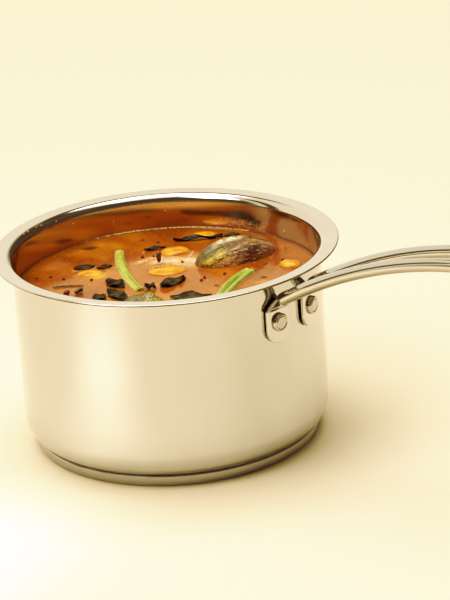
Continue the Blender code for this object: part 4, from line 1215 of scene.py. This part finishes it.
# %% Build the onions
onion = Finish("stained_onion", (0.80, 0.42, 0.03), 0.22, Subsurface_Weight=0.25,
               Subsurface_Radius=(1.0, 0.6, 0.15), Subsurface_Scale=0.003)
flesh = onion.ramp(onion.noise(5.0 * MM), (0.35, (0.62, 0.22, 0.004)), (0.55, (0.76, 0.34, 0.010)),
                   (0.7, (0.84, 0.47, 0.04)))
# painted shade: the flesh turns darker orange in the grooves between layers
onion.colour(onion.mix(onion.mark("groove"), flesh, (0.50, 0.17, 0.004)))
for number, (name, spec) in enumerate(SHALLOTS.items()):
    surface, groove = shallot(spec, 40 + number)
    make_piece(name.replace("shallot", "onion"), set_down(surface, spec), (onion.material,),
               (name,), {"groove": groove * 0.6})

# %% [markdown]
# ## Bean pods
#
# Green bean pods are cut across and simmered soft. A bevelled curve would be too plain: a pod is a flat oval
# section with fine ribs that is carried along a slightly bowed line. One has opened along its seam, and
# there the top of the section dips to a slot.

# %% Form of a pod
def pod(spec, seed, rows=120, sides=72):
    """(surface, along, around) of a pod: a superellipse carried along a bowed line.

    Its size swells by 0.86 + 0.14 sin(pi t), both ends round off within a short way, and the slot
    lowers the top by slot * exp(-(across / 0.34)^2).
    """
    t = np.concatenate([[0.0, 0.006, 0.014, 0.024], np.linspace(0.034, 0.966, rows),
                        [0.976, 0.986, 0.994, 1.0]])
    turn = full_turn(sides)
    a, b = superellipse(turn, 2.3)
    swell = 0.88 + 0.12 * ease(t, 0.0, 0.016) * ease(1.0 - t, 0.0, 0.016)
    swell *= 0.86 + 0.14 * np.sin(np.pi * t)
    slot = spec.slot * np.sin(np.pi * (0.15 + 0.7 * t))
    dip = 1.0 - slot[:, None] * np.exp(-(a / 0.34) ** 2) * (b > 0.0)
    ribs = 1.0 + 0.018 * np.cos(9.0 * turn) + 0.012 * np.sin(14.0 * turn + seed)
    beans = 1.0 + 0.018 * np.sin(2.0 * np.pi * t * 4.0 + seed)[:, None]
    half = swell[:, None] * MM / 2.0 * ribs
    a, b = spec.width * half * a, spec.height * half * b * dip * beans
    centres = pod_path(spec, t)
    surface = skin(carried(centres, *level_frame(centres), a, b) + np.array([0.0, 0.0, STEW_LEVEL]))
    around = np.append(np.tile(np.degrees(turn), len(t)), [90.0, 90.0])
    return surface, np.append(np.repeat(t, sides), [0.0, 1.0]), around


# %% Pod skin
POD_PALE = (0.66, 0.64, 0.26)
POD_SEAM = (0.09, 0.12, 0.012)
POD_YELLOW = (0.62, 0.50, 0.07)
POD_SKINS = {       # as on the eggplants
    "pod_long": ((0.45, 0.44, 0.085), (
        (0.0, 0.10, 90.0, 90.0, POD_PALE, 0.9),
        # painted light: a paler band down the side that faces the light from the left
        (0.5, 0.60, 150.0, 22.0, POD_PALE, 0.7),
        (0.7, 0.30, 35.0, 18.0, (0.26, 0.30, 0.04), 0.6),
        (0.82, 0.20, 88.0, 8.0, POD_SEAM, 0.85))),
    "pod_split": ((0.42, 0.47, 0.13), (
        (0.5, 0.60, 160.0, 16.0, POD_YELLOW, 0.9),
        (0.6, 0.42, 88.0, 9.0, POD_SEAM, 0.95),
        (0.5, 0.60, 40.0, 8.0, POD_SEAM, 0.45),
        (0.0, 0.05, 90.0, 90.0, POD_PALE, 1.0))),
}
green = Finish("bean_pod", (0.50, 0.47, 0.08), 0.25, Subsurface_Weight=0.15,
               Subsurface_Radius=(0.6, 0.8, 0.2), Subsurface_Scale=0.002)
shade = green.ramp(green.noise(3.0 * MM, 4.0, 0.6), (0.35, (0.72, 0.78, 0.7)), (0.6, (1.0, 1.0, 1.0)))
green.colour(green.mix(1.0, green.mark("tint", "Color"), shade, "MULTIPLY"))

# %% Build the pods
for number, (name, spec) in enumerate(PODS.items()):
    surface, t, turn = pod(spec, 60 + number)
    tint = painted(t, turn, *POD_SKINS[name], 130 + number, (0.03, 3.0))
    make_piece(name.replace("pod_", "bean_pod_"), surface, (green.material,), (name,), {"tint": tint})

# %% [markdown]
# ## Curry leaves
#
# Curry leaves turn nearly black in hot oil and lie crumpled on the broth. Cloth simulation could crumple
# flat ones; a formula gives each its own form with no waiting. A leaf is a thin lens section carried along
# a wavy line: wide in its middle, pointed at both ends, creased along its midrib and curled up at its edges.

# %% Form of a leaf
LEAF_THICKNESS = 0.45 * MM
LEAF_TIP = 0.12
LEAF_LIFT = 0.1 * MM


def leaf(spec, seed, rows=56, columns=13):
    """(points, faces) of a leaf: its upper side, then its lower side, as one ring a row.

    Half its width is a belly of sin(pi t^0.85)^0.8, its height waves with a sine along it, and its edges
    curl up with the square of the distance from the midrib.
    """
    length, width = spec.length * MM, spec.width * MM
    t = np.linspace(0.0, 1.0, rows)[:, None]
    side = np.linspace(-1.0, 1.0, columns)
    ring = np.concatenate([side, side[::-1]])
    upper = np.repeat([1.0, 0.0], columns)
    belly = np.abs(np.sin(np.pi * t ** 0.85)) ** 0.8
    half = width / 2.0 * (LEAF_TIP + (1.0 - LEAF_TIP) * belly)
    wave = spec.wave * MM * (0.5 + 0.5 * np.sin(2.0 * np.pi * t * 1.6 + 0.1 * spec.length + ring))
    curl = spec.curl * MM * 0.6 * ring ** 2
    plan = np.stack(np.broadcast_arrays((t - 0.5) * length, half * ring, 0.0), axis=-1)
    crumple = 0.22 * MM * ripple(plan, 4.5 * MM, seed) + 0.10 * MM * ripple(plan, 2.0 * MM, seed + 1)
    crease = 0.25 * MM * np.exp(-(ring / 0.12) ** 2)
    frill = 0.05 * width * ripple(plan + 1.0, 3.5 * MM, seed + 2) * np.abs(ring)
    thickness = LEAF_THICKNESS * (1.0 - 0.6 * np.abs(ring)) * (0.4 + 0.6 * belly)
    height = LEAF_LIFT + wave + curl + crumple * spec.crumple - crease + upper * thickness + 0.15 * MM
    return skin(np.stack([plan[..., 0], plan[..., 1] + frill, height], axis=-1))


# %% Build the leaves
# the near-black stops are the fried leaves' own colour; the grey top stop is painted sheen, a wet reflection
# laid into the colour
leaf_paint_with_sheen = patchy("fried_leaf_painted_sheen", (0.03, 0.02, 0.005), 0.24, (5.0 * MM, 4.0, 0.6),
                    (0.50, (0.010, 0.0075, 0.002)), (0.62, (0.032, 0.024, 0.008)),
                    (0.74, (0.10, 0.080, 0.040)), Specular_IOR_Level=0.15)
for number, (name, spec) in enumerate(LEAVES.items()):
    surface = set_down(leaf(spec, 80 + 3 * number), spec)
    make_piece(name.replace("leaf", "curry_leaf"), surface, (leaf_paint_with_sheen,), (name,))

# %% [markdown]
# ## Stem and chilli
#
# A leaf stem and scraps of dried chilli are short twigs: a round, slightly knobbly section along a bowed
# line, thicker at one end. One function makes both, where a cone each would look machined, and each has a
# finish of its own.

# %% Form of a twig
def twig(spec, seed, rows=36, sides=20):
    """(points, faces) of a twig: knobbly circles whose radius goes from one end's to the other's."""
    t = np.linspace(0.0, 1.0, rows)
    lift = (STEW_LEVEL + LEAF_LIFT) / MM
    start = np.add(spec.start, (0.0, 0.0, lift + spec.thick))
    end = np.add(spec.end, (0.0, 0.0, lift + spec.thin))
    centres = bowed(start, end, spec.bow, t) * MM
    taper = (spec.thick + (spec.thin - spec.thick) * t) * MM
    radius = (taper * np.sqrt(np.clip(1.0 - np.abs(2.0 * t - 1.0) ** 8, 0.05, 1.0)))[:, None]
    across, up = level_frame(centres)
    turn = full_turn(sides)
    plain = carried(centres, across, up, radius * np.cos(turn), radius * np.sin(turn))
    knobs = 1.0 + 0.14 * ripple(plain, 2.5 * MM, seed)
    return skin(carried(centres, across, up, radius * knobs * np.cos(turn), radius * knobs * np.sin(turn)))


# %% Build the stem and the chilli
chilli_paint, stem_paint = [
    patchy(name, high, 0.3, (2.5 * MM,), (0.35, low), (0.65, high), Coat_Weight=0.3)
    for name, low, high in (("dried_chilli", (0.035, 0.006, 0.004), (0.17, 0.018, 0.006)),
                            ("leaf_stem", (0.07, 0.045, 0.02), (0.20, 0.13, 0.07)))]
for number, (name, spec) in enumerate(TWIGS.items()):
    paint = stem_paint if name == "stem" else chilli_paint
    make_piece(f"{name}_scrap", twig(spec, 150 + number), (paint,), (name,))
